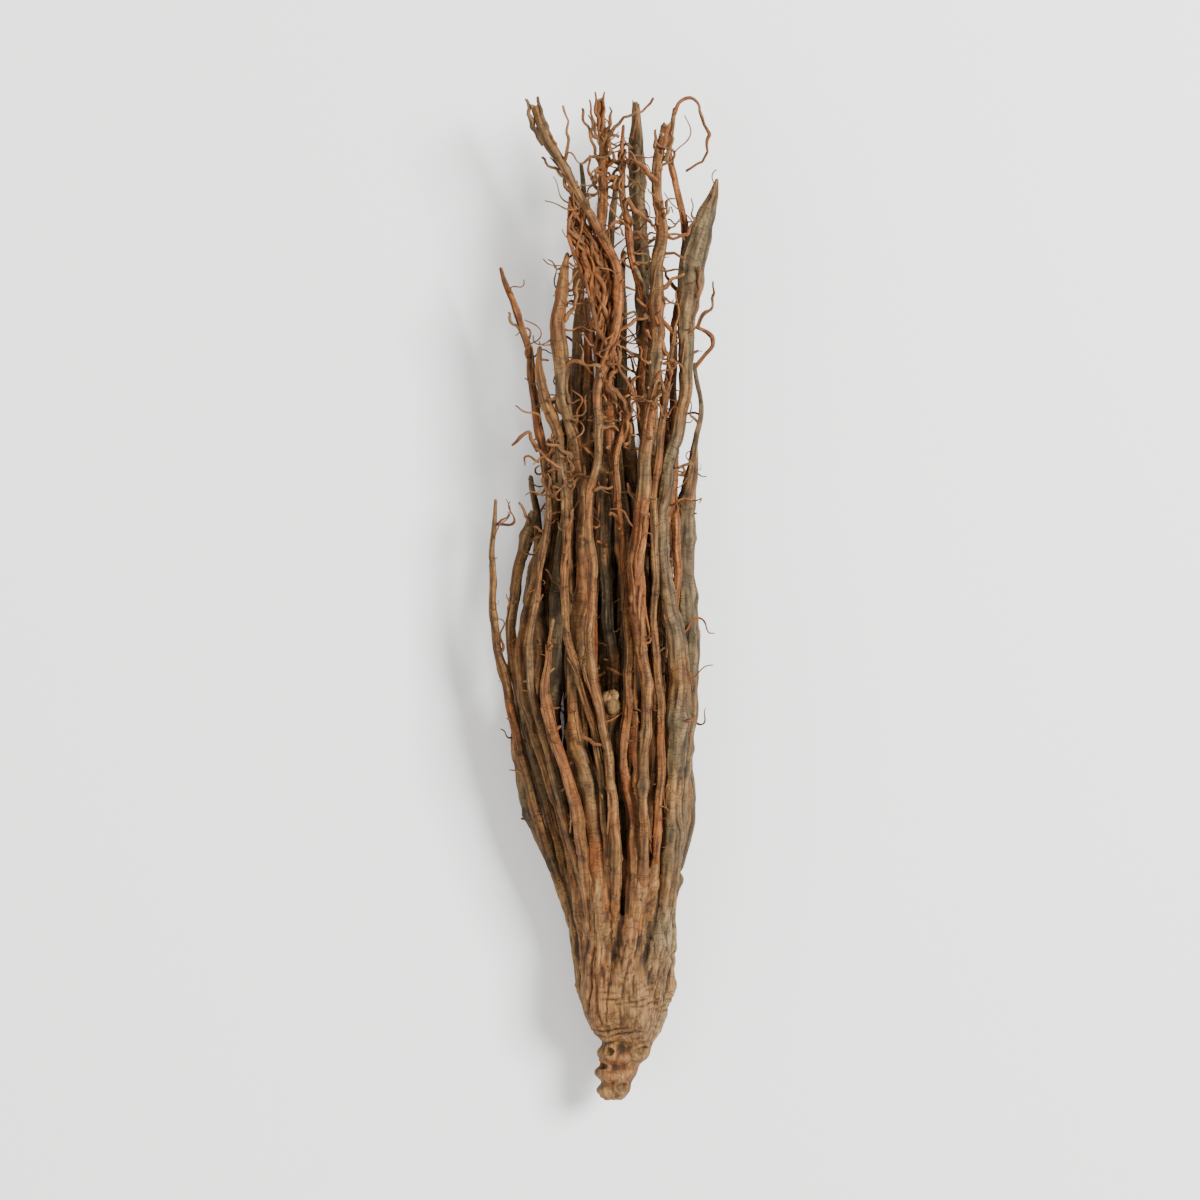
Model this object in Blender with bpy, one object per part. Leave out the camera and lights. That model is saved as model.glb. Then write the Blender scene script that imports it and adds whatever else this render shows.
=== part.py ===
"""A dried ginseng root with its crown, its short ringed body and the long leg roots and rootlets that
grow from it, lying on its side. It grew as one piece, so it is one solid.

The crown's end is at low Y and the leg roots run towards +Y, spread over each other as they lie. Routes are
given in millimetres from the crown's end and the table, and are scaled to metres when a mesh is made."""

import math
import random

import bpy
import numpy as np

MM = 0.001  # metres in a millimetre
ORIGIN = (-3.4, 80.7)  # mm, the middle of the root's outline on the table

# The crown and the body, from the broken stem's end to where the last legs part: distance from the crown's
# end, half width, half height, the height of the middle above the table, and how far it lies aside, in mm.
BODY = (
    (0.0, 1.9, 1.7, 7.6, -2.0),
    (1.0, 2.8, 2.5, 7.6, -1.9),
    (2.6, 2.4, 2.3, 7.7, -1.2),
    (4.0, 3.3, 3.0, 7.7, -1.4),
    (5.6, 2.8, 2.7, 7.6, -0.5),
    (7.2, 3.9, 3.6, 7.5, -0.4),
    (8.8, 3.7, 3.5, 7.3, 0.2),
    (10.6, 5.2, 5.1, 7.1, 0.2),
    (13.5, 6.7, 6.9, 7.0, 0.0),
    (17.0, 7.4, 7.5, 7.0, 0.0),
    (21.0, 7.3, 7.4, 7.0, 0.0),
    (25.0, 6.6, 6.8, 7.1, 0.0),
    (30.0, 5.5, 5.7, 7.5, 0.0),
    (36.0, 4.2, 4.4, 8.2, 0.0),
    (44.0, 2.8, 3.0, 8.9, 0.0),
    (54.0, 0.9, 1.0, 9.6, 0.0),
)
BODY_SIDES = 22
LOBES = 5  # soft ribs round the body
LOBE_DEPTH = 0.04  # of its radius

# The leg roots that show on the upper side, each as (x, y, z, radius) from the body to its tip, in mm.
LEGS = {
    "frayed_left": (
        (-1.6, 24, 11.8, 1.7), (-1.6, 41, 16.5, 0.95), (-2.4, 54, 18.0, 0.8), (-4.3, 66, 18.5, 0.75),
        (-5.6, 76, 18.5, 0.75), (-5.1, 87, 18.5, 0.75), (-5.7, 97, 18.5, 0.7), (-4.0, 106, 18.5, 0.7),
        (-4.3, 116, 18.5, 0.75), (-1.2, 125, 18.5, 0.85), (-1.4, 134, 18.0, 0.8), (-5.4, 142, 17.5, 0.7),
        (-9.2, 149, 17.0, 0.7), (-12.2, 154, 16.5, 1.0), (-14.0, 159, 16.0, 0.7),
    ),
    "bright_right": (
        (1.6, 23, 12.0, 1.9), (2.8, 42, 17.5, 0.9), (3.0, 59, 18.5, 0.85), (3.4, 68, 18.5, 0.9),
        (2.3, 76, 18.5, 1.0), (1.9, 86, 18.5, 1.25), (2.5, 95, 18.5, 1.2), (3.3, 106, 18.5, 1.0),
        (4.4, 114, 18.5, 0.95), (4.9, 126, 18.5, 1.1), (4.9, 133, 18.5, 1.1), (5.7, 141, 18.0, 0.9),
        (4.8, 146, 17.5, 0.8), (5.2, 151, 17.5, 0.85), (6.3, 156, 17.5, 0.85),
    ),
    "spindle_right": (
        (4.0, 16, 10.4, 2.4), (7.4, 42, 15.5, 1.4), (7.9, 56, 16.5, 1.6), (8.4, 68, 16.5, 1.75),
        (7.8, 77, 16.5, 1.5), (6.2, 85, 16.5, 1.2), (5.6, 93, 16.5, 1.15), (6.4, 102, 16.5, 1.15),
        (8.2, 109, 16.5, 1.05), (9.5, 119, 16.5, 1.15), (9.5, 126, 16.5, 1.5), (10.4, 133, 16.5, 2.05),
        (11.3, 138, 16.5, 1.95), (12.8, 143, 16.0, 1.2), (14.2, 147.5, 15.5, 0.3),
    ),
    "olive_right": (
        (5.4, 16, 7.2, 2.3), (7.6, 42, 11.0, 1.4), (9.4, 60, 12.5, 1.45), (10.2, 70, 12.5, 1.5),
        (9.7, 82, 12.5, 1.6), (9.3, 94, 12.5, 1.5), (10.3, 101, 12.8, 1.1), (10.9, 106, 13.0, 0.5),
        (11.9, 112, 13.5, 0.4), (10.9, 119, 13.5, 0.35),
    ),
    "knotty_left": (
        (-3.8, 17, 10.6, 2.4), (-4.3, 43, 15.0, 1.75), (-5.8, 53, 15.5, 1.5), (-8.0, 64, 15.5, 1.15),
        (-7.5, 76, 15.0, 1.05), (-6.6, 87, 14.5, 0.95), (-6.6, 99, 15.0, 0.9), (-8.0, 107, 16.0, 0.95),
        (-10.0, 115, 16.5, 1.05), (-9.9, 120, 16.5, 1.35), (-10.4, 126, 16.5, 1.15), (-9.5, 132, 16.5, 0.9),
        (-8.8, 136.5, 16.5, 0.25),
    ),
    "tan_left": (
        (-2.4, 27, 11.2, 1.5), (-2.6, 44, 17.0, 0.7), (-4.2, 58, 17.5, 0.65), (-6.3, 67, 17.5, 0.65),
        (-9.0, 76, 17.0, 0.6), (-9.3, 86, 16.5, 0.6), (-9.5, 98, 16.5, 0.7), (-10.6, 108, 16.0, 0.75),
        (-12.6, 114, 16.0, 0.9), (-13.4, 118, 16.0, 0.6), (-13.1, 122, 16.0, 0.3),
    ),
    "far_left": (
        (-5.0, 19, 8.6, 1.9), (-9.5, 45, 11.5, 0.9), (-13.6, 58, 12.5, 0.85), (-16.0, 68, 13.0, 0.8),
        (-16.2, 77, 13.0, 0.7), (-13.8, 86, 13.5, 0.65), (-11.8, 95, 14.0, 0.6), (-12.8, 104, 14.0, 0.65),
        (-14.3, 114, 14.0, 0.65), (-15.1, 121, 14.0, 0.6), (-17.6, 129, 14.0, 0.5), (-19.5, 134, 14.0, 0.25),
    ),
    "bowed_left": (
        (-5.4, 16, 6.4, 2.0), (-11.5, 45, 9.0, 1.0), (-15.6, 60, 9.5, 0.95), (-17.8, 72, 10.0, 0.9),
        (-17.2, 83, 10.5, 0.9), (-15.6, 90, 11.0, 0.95), (-14.3, 95, 11.0, 0.85),
    ),
    "short_left": (
        (-4.4, 22, 10.2, 1.8), (-6.9, 43, 15.5, 0.95), (-8.1, 51, 16.5, 0.9), (-10.7, 59, 17.0, 0.85),
        (-12.4, 67, 17.0, 0.8), (-12.0, 73, 16.5, 0.4), (-11.4, 79, 16.0, 0.3),
    ),
    "inner_left": (
        (-4.0, 25, 9.2, 1.6), (-7.9, 41, 13.5, 0.8), (-11.2, 54, 14.5, 0.75), (-14.0, 65, 15.0, 0.7),
        (-15.0, 73, 15.0, 0.6), (-13.6, 84, 15.5, 0.5), (-12.2, 94, 15.5, 0.5), (-11.4, 101, 15.5, 0.3),
    ),
    "edge_left": (
        (-5.2, 21, 6.0, 1.6), (-12.5, 42, 9.5, 0.9), (-15.6, 53, 10.0, 0.85), (-18.0, 64, 10.5, 0.8),
        (-20.3, 76, 10.5, 0.7), (-21.0, 88, 10.5, 0.5), (-20.2, 97, 10.5, 0.3),
    ),
    "russet_centre": (
        (0.2, 18, 12.4, 2.0), (1.6, 43, 17.0, 1.2), (1.0, 50, 17.0, 1.0), (-0.4, 57, 17.0, 0.8),
        (0.4, 65, 17.0, 0.8), (0.6, 74, 16.5, 0.7), (-0.1, 86, 16.0, 0.55), (-1.0, 97, 16.0, 0.5),
        (-1.4, 104, 16.5, 0.5), (0.0, 111, 16.5, 0.4), (0.8, 117, 16.5, 0.25),
    ),
    "slim_right": (
        (3.2, 24, 11.0, 1.6), (5.0, 42, 16.5, 0.75), (5.5, 53, 17.0, 0.7), (5.7, 65, 17.0, 0.65),
        (4.8, 75, 17.0, 0.65), (4.7, 87, 17.0, 0.6), (4.6, 98, 17.0, 0.6), (6.2, 111, 17.0, 0.55),
        (6.9, 119, 17.0, 0.45), (7.9, 126, 17.0, 0.25),
    ),
    "stub_centre": (
        (-0.8, 28, 10.6, 1.5), (-2.0, 48, 13.0, 0.85), (-2.4, 60, 14.0, 0.9), (-2.2, 64, 14.5, 1.35),
        (-2.1, 66.5, 14.8, 1.1),
    ),
    "snapped_centre": (
        (0.4, 32, 9.0, 1.5), (-1.0, 60, 12.0, 1.0), (-3.0, 84, 13.5, 0.9), (-3.4, 98, 14.5, 0.9),
        (-2.9, 102.5, 15.0, 1.15), (-1.5, 106, 15.5, 0.85), (0.2, 109.5, 15.5, 0.85),
    ),
    "frayed_centre": (
        (1.0, 31, 9.6, 1.6), (1.4, 50, 13.0, 1.0), (0.6, 78, 14.0, 0.9), (-1.4, 98, 15.0, 0.85),
        (-2.6, 114, 16.0, 0.85), (-2.8, 130, 16.5, 0.85), (-3.4, 141, 16.5, 0.8), (-3.4, 148, 16.0, 0.8),
        (-3.7, 154, 16.0, 0.75), (-3.9, 161, 15.5, 0.6),
    ),
    "second_centre": (
        (2.4, 29, 9.6, 1.5), (4.2, 60, 13.0, 0.8), (6.4, 88, 14.0, 0.7), (6.8, 104, 15.0, 0.65),
        (5.2, 118, 15.5, 0.6), (2.6, 129, 16.5, 0.6), (0.9, 136, 16.5, 0.55), (-0.2, 145, 16.0, 0.55),
        (-0.4, 151, 16.0, 0.45), (-0.3, 156, 15.5, 0.25),
    ),
    "dark_back": (
        (2.4, 22, 4.0, 2.0), (3.5, 55, 7.0, 1.35), (4.6, 85, 8.0, 1.25), (3.6, 115, 9.0, 1.2),
        (2.2, 140, 9.5, 1.2), (1.7, 153, 9.5, 1.1), (1.9, 159.5, 9.5, 0.5),
    ),
    "looped_right": (
        (4.2, 25, 8.6, 1.6), (7.0, 60, 12.5, 0.8), (8.0, 88, 13.5, 0.7), (7.4, 108, 14.0, 0.65),
        (7.6, 122, 14.0, 0.6), (8.9, 133, 14.0, 0.6), (9.2, 141, 14.5, 0.55), (7.6, 147, 15.5, 0.55),
        (7.1, 154, 15.5, 0.45), (7.8, 160, 15.5, 0.3),
    ),
    "wisp_left": (
        (-2.6, 29, 9.4, 1.4), (-4.6, 70, 12.0, 0.6), (-4.4, 100, 13.5, 0.55), (-3.9, 124, 15.0, 0.55),
        (-5.2, 134, 15.5, 0.5), (-7.9, 139, 15.5, 0.45), (-8.3, 144, 15.5, 0.3),
    ),
    "dim_left": (
        (-3.4, 21, 4.2, 1.8), (-8.0, 60, 8.0, 0.9), (-8.5, 95, 9.0, 0.8), (-7.2, 125, 9.5, 0.7),
        (-6.7, 142, 9.5, 0.6), (-6.8, 150, 9.5, 0.3),
    ),
}

# The legs underneath, in rows above the table: height of the row, how many, its half width, and its middle
# across, in mm.
UNDER_ROWS = ((1.4, 8, 12.6, -3.8), (5.2, 7, 11.0, -3.2), (9.0, 5, 6.0, -1.0))
UNDER_ROOTS = (17.0, 27.0)  # mm from the crown's end
UNDER_TIPS = (104.0, 156.0)
UNDER_EDGE_TIP = 100.0  # the furthest that a leg at the edge of the lowest row reaches
UNDER_GIRTH = (1.15, 1.7)  # mm, radius at mid length
UNDER_TAPER = ((0.2, 1.0), (0.4, 0.95), (0.6, 0.8), (0.8, 0.6), (1.0, 0.25))  # shares of length and girth
UNDER_SWAY = 1.8  # mm, across
UNDER_GATHER = 0.2  # the share of its width that a row loses by the tips
UNDER_RISE = 2.6  # mm
SEED = 11

STATION = 1.5  # mm between the places where neighbouring legs are compared
GAP = 0.4  # mm left between two legs
FORK = (33.0, 45.0)  # mm, where the legs part from each other
ROUNDS = 160

LEG_RING_STEP = 7.2  # mm between the rings of a leg that shows
UNDER_RING_STEP = 9.0
LEG_SIDES = 6
THIN_LEG = 0.75  # mm, a leg of less radius than this at mid length has one side fewer
ROOTLET_SIDES = 4

# Rootlets that stand out in the upper tangle: their points, and their radii at root and tip, in mm.
ROOTLETS = {
    "curl_right": (((10.9, 118, 13.4), (13.7, 122.6, 14.0), (11.4, 124.6, 14.4), (13.3, 127.5, 14.4),
                    (14.0, 131.5, 14.2)), 0.36, 0.24),
    "loop_right": (((7.6, 158.5, 15.5), (8.8, 160.8, 15.4), (10.8, 160.6, 15.0), (12.6, 157.0, 14.6),
                    (13.3, 153.4, 14.6), (11.8, 150.8, 14.6), (9.6, 148.6, 14.8)), 0.34, 0.25),
    "arc_right": (((5.6, 139.6, 18.0), (7.2, 138.6, 18.6), (9.0, 138.9, 18.6), (10.6, 141.4, 18.2)),
                  0.32, 0.24),
    "spur_right": (((4.9, 130.2, 18.4), (6.9, 131.8, 19.0), (8.8, 133.0, 19.2)), 0.5, 0.26),
    "bristle_right": (((5.0, 136.3, 18.4), (7.0, 136.2, 19.2), (9.2, 135.7, 19.6)), 0.32, 0.24),
    "branch_left": (((-7.0, 143.4, 17.4), (-9.0, 146.6, 17.2), (-10.4, 148.8, 16.8), (-12.9, 150.8, 16.4)),
                    0.36, 0.25),
    "feeler_left": (((-9.6, 149.8, 17.0), (-8.8, 153.0, 17.4), (-9.0, 156.0, 17.2), (-9.4, 158.6, 16.6)),
                    0.32, 0.24),
    "feeler_centre": (((-3.5, 153.6, 16.0), (-0.6, 156.6, 16.6), (2.4, 158.2, 16.8), (4.6, 160.0, 16.6)),
                      0.34, 0.25),
    "twig_centre": (((-3.6, 149.0, 16.0), (-5.2, 153.6, 16.4), (-6.8, 158.6, 16.2)), 0.34, 0.25),
    "hook_centre": (((-3.3, 147.4, 16.2), (-1.6, 148.0, 17.2), (-0.2, 146.6, 17.6), (-1.0, 144.6, 17.2)),
                    0.42, 0.26),
    "curl_centre": (((-1.2, 122.6, 18.0), (-0.9, 119.0, 18.8), (-2.5, 116.7, 19.0), (-0.7, 114.0, 19.0),
                     (0.3, 111.6, 18.6), (1.0, 108.2, 18.2)), 0.46, 0.28),
    "side_left": (((-9.8, 117.8, 16.8), (-8.4, 119.2, 17.6), (-6.3, 118.9, 17.8), (-4.8, 117.4, 17.6)),
                  0.3, 0.24),
    "fork_left": (((-10.3, 124.0, 16.6), (-8.2, 127.6, 17.2), (-7.2, 131.8, 17.0)), 0.46, 0.26),
    "stray_left": (((-13.6, 105.0, 14.2), (-15.4, 108.0, 15.0), (-17.6, 105.8, 15.4)), 0.4, 0.28),
    "feeler_edge": (((-9.6, 86.0, 16.6), (-9.0, 91.0, 18.2), (-8.2, 96.4, 18.8)), 0.38, 0.26),
    "prong_centre": (((-1.2, 105.0, 16.6), (0.4, 109.4, 18.2), (1.2, 113.4, 18.8)), 0.38, 0.26),
}

# The others grow by rule: in each stretch of the legs, from y to y, this many of them.
TANGLE = ((40, 90, 10), (90, 118, 20), (118, 148, 26))
ROOTLET_LENGTH = (4.0, 9.0)  # mm
ROOTLET_GIRTH = (0.3, 0.42)  # mm, radius at the root
ROOTLET_POINTS = 5
ROOTLET_REACH = (-20.5, 15.5)  # mm across, which none of them passes


def through(places, values, wanted):
    """A smooth curve through values at places, read at the wanted places."""
    slopes = np.gradient(values, places)
    i = np.clip(np.searchsorted(places, wanted) - 1, 0, len(places) - 2)
    step = places[i + 1] - places[i]
    t = (wanted - places[i]) / step
    return (
        values[i] * (2 * t**3 - 3 * t**2 + 1)
        + slopes[i] * step * (t**3 - 2 * t**2 + t)
        + values[i + 1] * (3 * t**2 - 2 * t**3)
        + slopes[i + 1] * step * (t**3 - t**2)
    )


def legs_underneath():
    """Routes of the legs that the upper ones hide, fanned out in rows on the table."""
    draw = random.Random(SEED)
    found = {}
    for row, (height, count, half_width, middle) in enumerate(UNDER_ROWS):
        for k in range(count):
            across = half_width * (2 * k / (count - 1) - 1)
            girth = draw.uniform(*UNDER_GIRTH)
            root, tip = draw.uniform(*UNDER_ROOTS), draw.uniform(*UNDER_TIPS)
            edge = abs(across) / UNDER_ROWS[0][2]
            tip = min(tip, UNDER_TIPS[1] + (UNDER_EDGE_TIP - UNDER_TIPS[1]) * edge)
            points = [(across * 0.36, root, 2.6 + 0.6 * height, girth * 1.7)]
            points.append((across * 0.8 + middle * 0.5, FORK[1], height + 0.6, girth * 1.2))
            for share, thickness in UNDER_TAPER:
                x = across * (1 - UNDER_GATHER * share) + middle + draw.uniform(-1, 1) * UNDER_SWAY
                y = FORK[1] + (tip - FORK[1]) * share
                points.append((x, y, height + draw.uniform(0, 1) * UNDER_RISE, girth * thickness))
            found[f"under_{row}_{k}"] = tuple(points)
    return found


def settle(legs):
    """How far each leg moves aside and up at each station, so that the legs rest by each other and on the
    table with none in another. The upper ones keep their place across and mostly rise or sink."""
    stations = np.arange(20.0, 163.0, STATION)
    shape = (len(legs), len(stations))
    place, radius, active = np.zeros((2, *shape)), np.zeros(shape), np.zeros(shape, bool)
    for i, points in enumerate(legs.values()):
        table = np.array(points)
        at = np.clip(stations, table[0, 1], table[-1, 1])
        place[0, i] = through(table[:, 1], table[:, 0], at)
        place[1, i] = through(table[:, 1], table[:, 2], at)
        radius[i] = through(table[:, 1], table[:, 3], at)
        active[i] = (stations >= table[0, 1]) & (stations <= table[-1, 1])
    aside = [[0.9 if name.startswith("under") else 0.12] for name in legs]
    freedom = np.array([aside, [[1.0]] * len(legs)])
    parted = np.clip((stations - FORK[0]) / (FORK[1] - FORK[0]), 0, 1)
    both = active[:, None] & active[None]
    both[np.arange(len(legs)), np.arange(len(legs))] = False
    apart = (radius[:, None] + radius[None] + GAP) * parted
    moved = np.zeros_like(place)
    for _ in range(ROUNDS):
        here = place + moved
        between = here[:, :, None] - here[:, None]
        distance = np.sqrt((between**2).sum(0)) + 1e-6
        overlap = np.where(both, np.clip(apart - distance, 0, None), 0)
        moved += 0.35 * freedom * (between / distance * overlap).sum(2)
        moved[:, :, 1:-1] += 0.2 * (moved[:, :, :-2] + moved[:, :, 2:] - 2 * moved[:, :, 1:-1])
        moved[1] = np.maximum(place[1] + moved[1], radius) - place[1]
    return stations, {name: moved[:, i] for i, name in enumerate(legs)}


def leg_line(points, stations, moved, wanted):
    """Points of a leg's middle line, and its radii, at the wanted distances from the crown's end."""
    table = np.array(points)
    x = through(table[:, 1], table[:, 0], wanted) + np.interp(wanted, stations, moved[0])
    z = through(table[:, 1], table[:, 2], wanted) + np.interp(wanted, stations, moved[1])
    radii = through(table[:, 1], table[:, 3], wanted)
    return np.stack([x, wanted, z], axis=1), np.maximum(radii, 0.25)


def rootlets_by_rule(lines):
    """Curled rootlets that spring from the legs, most of them in the upper tangle."""
    draw = random.Random(SEED + 1)
    names = [name for name in lines if not name.startswith("under")]
    found = []
    for low, high, count in TANGLE:
        wanted = len(found) + count
        while len(found) < wanted:
            reaching = [n for n in names if lines[n][0][-1, 1] > low + 4]
            line, radii = lines[draw.choice(reaching)]
            y = draw.uniform(low, min(high, line[-1, 1] - 2))
            root = np.array([np.interp(y, line[:, 1], line[:, a]) for a in range(3)])
            turn = draw.uniform(-0.3, math.pi + 0.3)
            lean = draw.uniform(0.2, 1.1)
            length = draw.uniform(*ROOTLET_LENGTH)
            curl = draw.uniform(-1.6, 1.6)
            girth = draw.uniform(*ROOTLET_GIRTH)
            points = [root]
            for k in range(1, ROOTLET_POINTS):
                share = k / (ROOTLET_POINTS - 1)
                bend = turn + curl * share
                rise = lean + 0.5 * curl * share
                forward = math.cos(rise)
                step = np.array([forward * math.cos(bend), math.sin(rise), 0.6 * forward * math.sin(bend)])
                points.append(points[-1] + step * length / (ROOTLET_POINTS - 1))
            if ROOTLET_REACH[0] < points[-1][0] < ROOTLET_REACH[1]:
                found.append((np.array(points), np.linspace(girth, 0.24, ROOTLET_POINTS)))
    return found


def loft(name, rings):
    """A closed mesh object over rings of equally many points in mm, set in metres about the origin."""
    rings = np.array(rings) - (*ORIGIN, 0.0)
    rings[:, :, 2] = np.maximum(rings[:, :, 2], 0.0)
    count, sides = rings.shape[:2]
    faces = [tuple(range(sides))[::-1], tuple((count - 1) * sides + k for k in range(sides))]
    for r in range(count - 1):
        for k in range(sides):
            a, b = r * sides + k, r * sides + (k + 1) % sides
            faces.append((a, b, b + sides, a + sides))
    mesh = bpy.data.meshes.new(name)
    mesh.from_pydata((rings.reshape(-1, 3) * MM).tolist(), [], faces)
    mesh.validate()
    return bpy.data.objects.new(name, mesh)


def tube(name, line, radii, sides):
    """A tube along a line of points in mm, as thick on average as a round one of these radii."""
    fuller = math.sqrt(2 * math.pi / (sides * math.sin(2 * math.pi / sides)))
    along = np.gradient(line, axis=0)
    along /= np.linalg.norm(along, axis=1)[:, None]
    side = np.cross(along[0], (0.0, 0.0, 1.0) if abs(along[0][2]) < 0.9 else (1.0, 0.0, 0.0))
    angles = 2 * math.pi * np.arange(sides) / sides
    rings = []
    for point, direction, radius in zip(line, along, radii):
        side = side - direction * side.dot(direction)
        side /= np.linalg.norm(side)
        other = np.cross(direction, side)
        ring = np.outer(np.cos(angles), side) + np.outer(np.sin(angles), other)
        rings.append(point + ring * radius * fuller)
    return loft(name, rings)


def body():
    """The crown and the body: lobed rings, flat where the body lies on the table."""
    angles = 2 * math.pi * np.arange(BODY_SIDES) / BODY_SIDES
    rings = []
    for y, half_width, half_height, middle, aside in BODY:
        lobed = 1 + LOBE_DEPTH * np.sin(LOBES * angles + y * 0.06)
        x = aside + half_width * lobed * np.cos(angles)
        z = middle - half_height * lobed * np.sin(angles)
        rings.append(np.stack([x, np.full(BODY_SIDES, y), z], axis=1))
    return loft("ginseng_root", rings)


def growth():
    """Every leg and rootlet as its own closed tube, with its root sunk in what it grows from."""
    legs = {**LEGS, **legs_underneath()}
    stations, moved = settle(legs)
    pieces, lines = [], {}
    for name, points in legs.items():
        first, last = points[0][1], points[-1][1]
        step = UNDER_RING_STEP if name.startswith("under") else LEG_RING_STEP
        count = math.ceil((last - first) / step) + 1
        line, radii = leg_line(points, stations, moved[name], np.linspace(first, last, count))
        lines[name] = (line, radii)
        thin = radii[len(radii) // 2] < THIN_LEG
        pieces.append(tube(name, line, radii, LEG_SIDES - thin))
    for name, (points, root, tip) in ROOTLETS.items():
        pieces.append(tube(name, np.array(points), np.linspace(root, tip, len(points)), ROOTLET_SIDES))
    for k, (line, radii) in enumerate(rootlets_by_rule(lines)):
        pieces.append(tube(f"rootlet_{k}", line, radii, ROOTLET_SIDES))
    return pieces


def join(trunk, pieces):
    """Fuses the pieces into the trunk by one Boolean union, and removes them. Every piece is a closed mesh,
    which the fast solver needs."""
    collection = bpy.data.collections.new("growth")
    bpy.context.scene.collection.children.link(collection)
    for piece in pieces:
        collection.objects.link(piece)
    union = trunk.modifiers.new("growth", "BOOLEAN")
    union.operation = "UNION"
    union.operand_type = "COLLECTION"
    union.collection = collection
    union.solver = "MANIFOLD"
    bpy.context.view_layer.update()
    fused = bpy.data.meshes.new_from_object(trunk.evaluated_get(bpy.context.evaluated_depsgraph_get()))
    trunk.modifiers.clear()
    trunk.data = fused
    for piece in pieces:
        bpy.data.objects.remove(piece)
    bpy.data.collections.remove(collection)


def bark():
    """Dry root bark: matt and tan brown."""
    material = bpy.data.materials.new("dried_bark")
    material.use_nodes = True
    shader = material.node_tree.nodes["Principled BSDF"]
    shader.inputs["Base Color"].default_value = (0.34, 0.17, 0.08, 1.0)
    shader.inputs["Roughness"].default_value = 0.8
    shader.inputs["Metallic"].default_value = 0.0
    return material


def build():
    for obj in list(bpy.data.objects):
        bpy.data.objects.remove(obj)
    root = body()
    bpy.context.scene.collection.objects.link(root)
    join(root, growth())
    root.data.materials.clear()
    root.data.materials.append(bark())


build()
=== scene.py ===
import math
import random

import bpy
import numpy as np
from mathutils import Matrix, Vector, noise


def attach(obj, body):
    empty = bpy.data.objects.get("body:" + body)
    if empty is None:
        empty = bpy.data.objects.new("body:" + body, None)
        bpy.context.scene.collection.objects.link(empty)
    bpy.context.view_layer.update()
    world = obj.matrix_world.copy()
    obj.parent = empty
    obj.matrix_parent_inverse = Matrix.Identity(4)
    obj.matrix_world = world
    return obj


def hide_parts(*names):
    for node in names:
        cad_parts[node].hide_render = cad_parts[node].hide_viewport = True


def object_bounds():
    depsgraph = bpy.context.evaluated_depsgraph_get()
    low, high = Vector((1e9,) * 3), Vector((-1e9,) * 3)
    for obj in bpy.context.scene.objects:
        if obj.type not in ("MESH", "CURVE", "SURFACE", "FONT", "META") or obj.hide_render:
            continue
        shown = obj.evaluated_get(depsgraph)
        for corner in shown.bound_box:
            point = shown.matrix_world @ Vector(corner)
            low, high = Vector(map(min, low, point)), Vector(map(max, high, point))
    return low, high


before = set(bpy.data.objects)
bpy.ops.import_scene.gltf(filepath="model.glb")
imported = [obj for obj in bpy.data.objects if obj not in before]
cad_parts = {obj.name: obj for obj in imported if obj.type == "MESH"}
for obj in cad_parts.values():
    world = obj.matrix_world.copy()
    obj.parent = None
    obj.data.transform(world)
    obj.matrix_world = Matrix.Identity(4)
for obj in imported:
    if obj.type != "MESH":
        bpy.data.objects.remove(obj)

# A dried ginseng root that lies on a pale table: crown, ringed body, long leg roots and curled rootlets.
# It is worked out in the root's own measure: millimetres, x across, y from the crown's end, z up.
mm = 0.001
rootMiddle = np.array((-3.4, 80.7, 0.0))  # where the part's origin lies in that measure
cadBox = [[float(value) for value in corner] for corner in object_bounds()]


# Small helpers

def linearColour(hexText):
    channels = [int(hexText[k:k + 2], 16) / 255 for k in (1, 3, 5)]
    return tuple(c / 12.92 if c <= 0.04045 else ((c + 0.055) / 1.055) ** 2.4 for c in channels) + (1.0,)


# Adds a node. A setting is a property or a socket's value, and "stops" fills a colour ramp. A link comes from
# a socket, or from the first output of a node
def addNode(tree, kind, settings=None, links=None):
    node = tree.nodes.new("ShaderNode" + kind)
    for name, value in (settings or {}).items():
        if name == "stops":
            ramp = node.color_ramp
            ramp.elements.remove(ramp.elements[-1])
            ramp.elements[0].position, ramp.elements[0].color = value[0]
            for place, colour in value[1:]:
                ramp.elements.new(place).color = colour
        elif isinstance(name, int) or name in node.inputs:
            node.inputs[name].default_value = value
        else:
            setattr(node, name, value)
    for name, source in (links or {}).items():
        socket = source.outputs[0] if hasattr(source, "outputs") else source
        tree.links.new(socket, node.inputs[name])
    return node


# A smooth curve through values at places, read at the wanted places
def smoothThrough(places, values, wanted):
    slopes = np.gradient(values, places)
    i = np.clip(np.searchsorted(places, wanted) - 1, 0, len(places) - 2)
    step = places[i + 1] - places[i]
    t = (wanted - places[i]) / step
    return (
        values[i] * (2 * t**3 - 3 * t**2 + 1)
        + slopes[i] * step * (t**3 - 2 * t**2 + t)
        + values[i + 1] * (3 * t**2 - 2 * t**3)
        + slopes[i + 1] * step * (t**3 - t**2)
    )


def smoothStep(low, high, value):
    t = np.clip((value - low) / (high - low), 0, 1)
    return t * t * (3 - 2 * t)


# A slow wander: one sine wave for each length in mm, with drawn phases
def drawWander(draw, lengths, size):
    waves = []
    for length in lengths:
        rate = 2 * math.pi / (length * draw.uniform(0.8, 1.25))
        waves.append((rate, draw.uniform(0, 2 * math.pi)))
    return lambda way: size / len(waves) * sum(np.sin(rate * way + phase) for rate, phase in waves)


# The leg roots' courses

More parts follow.
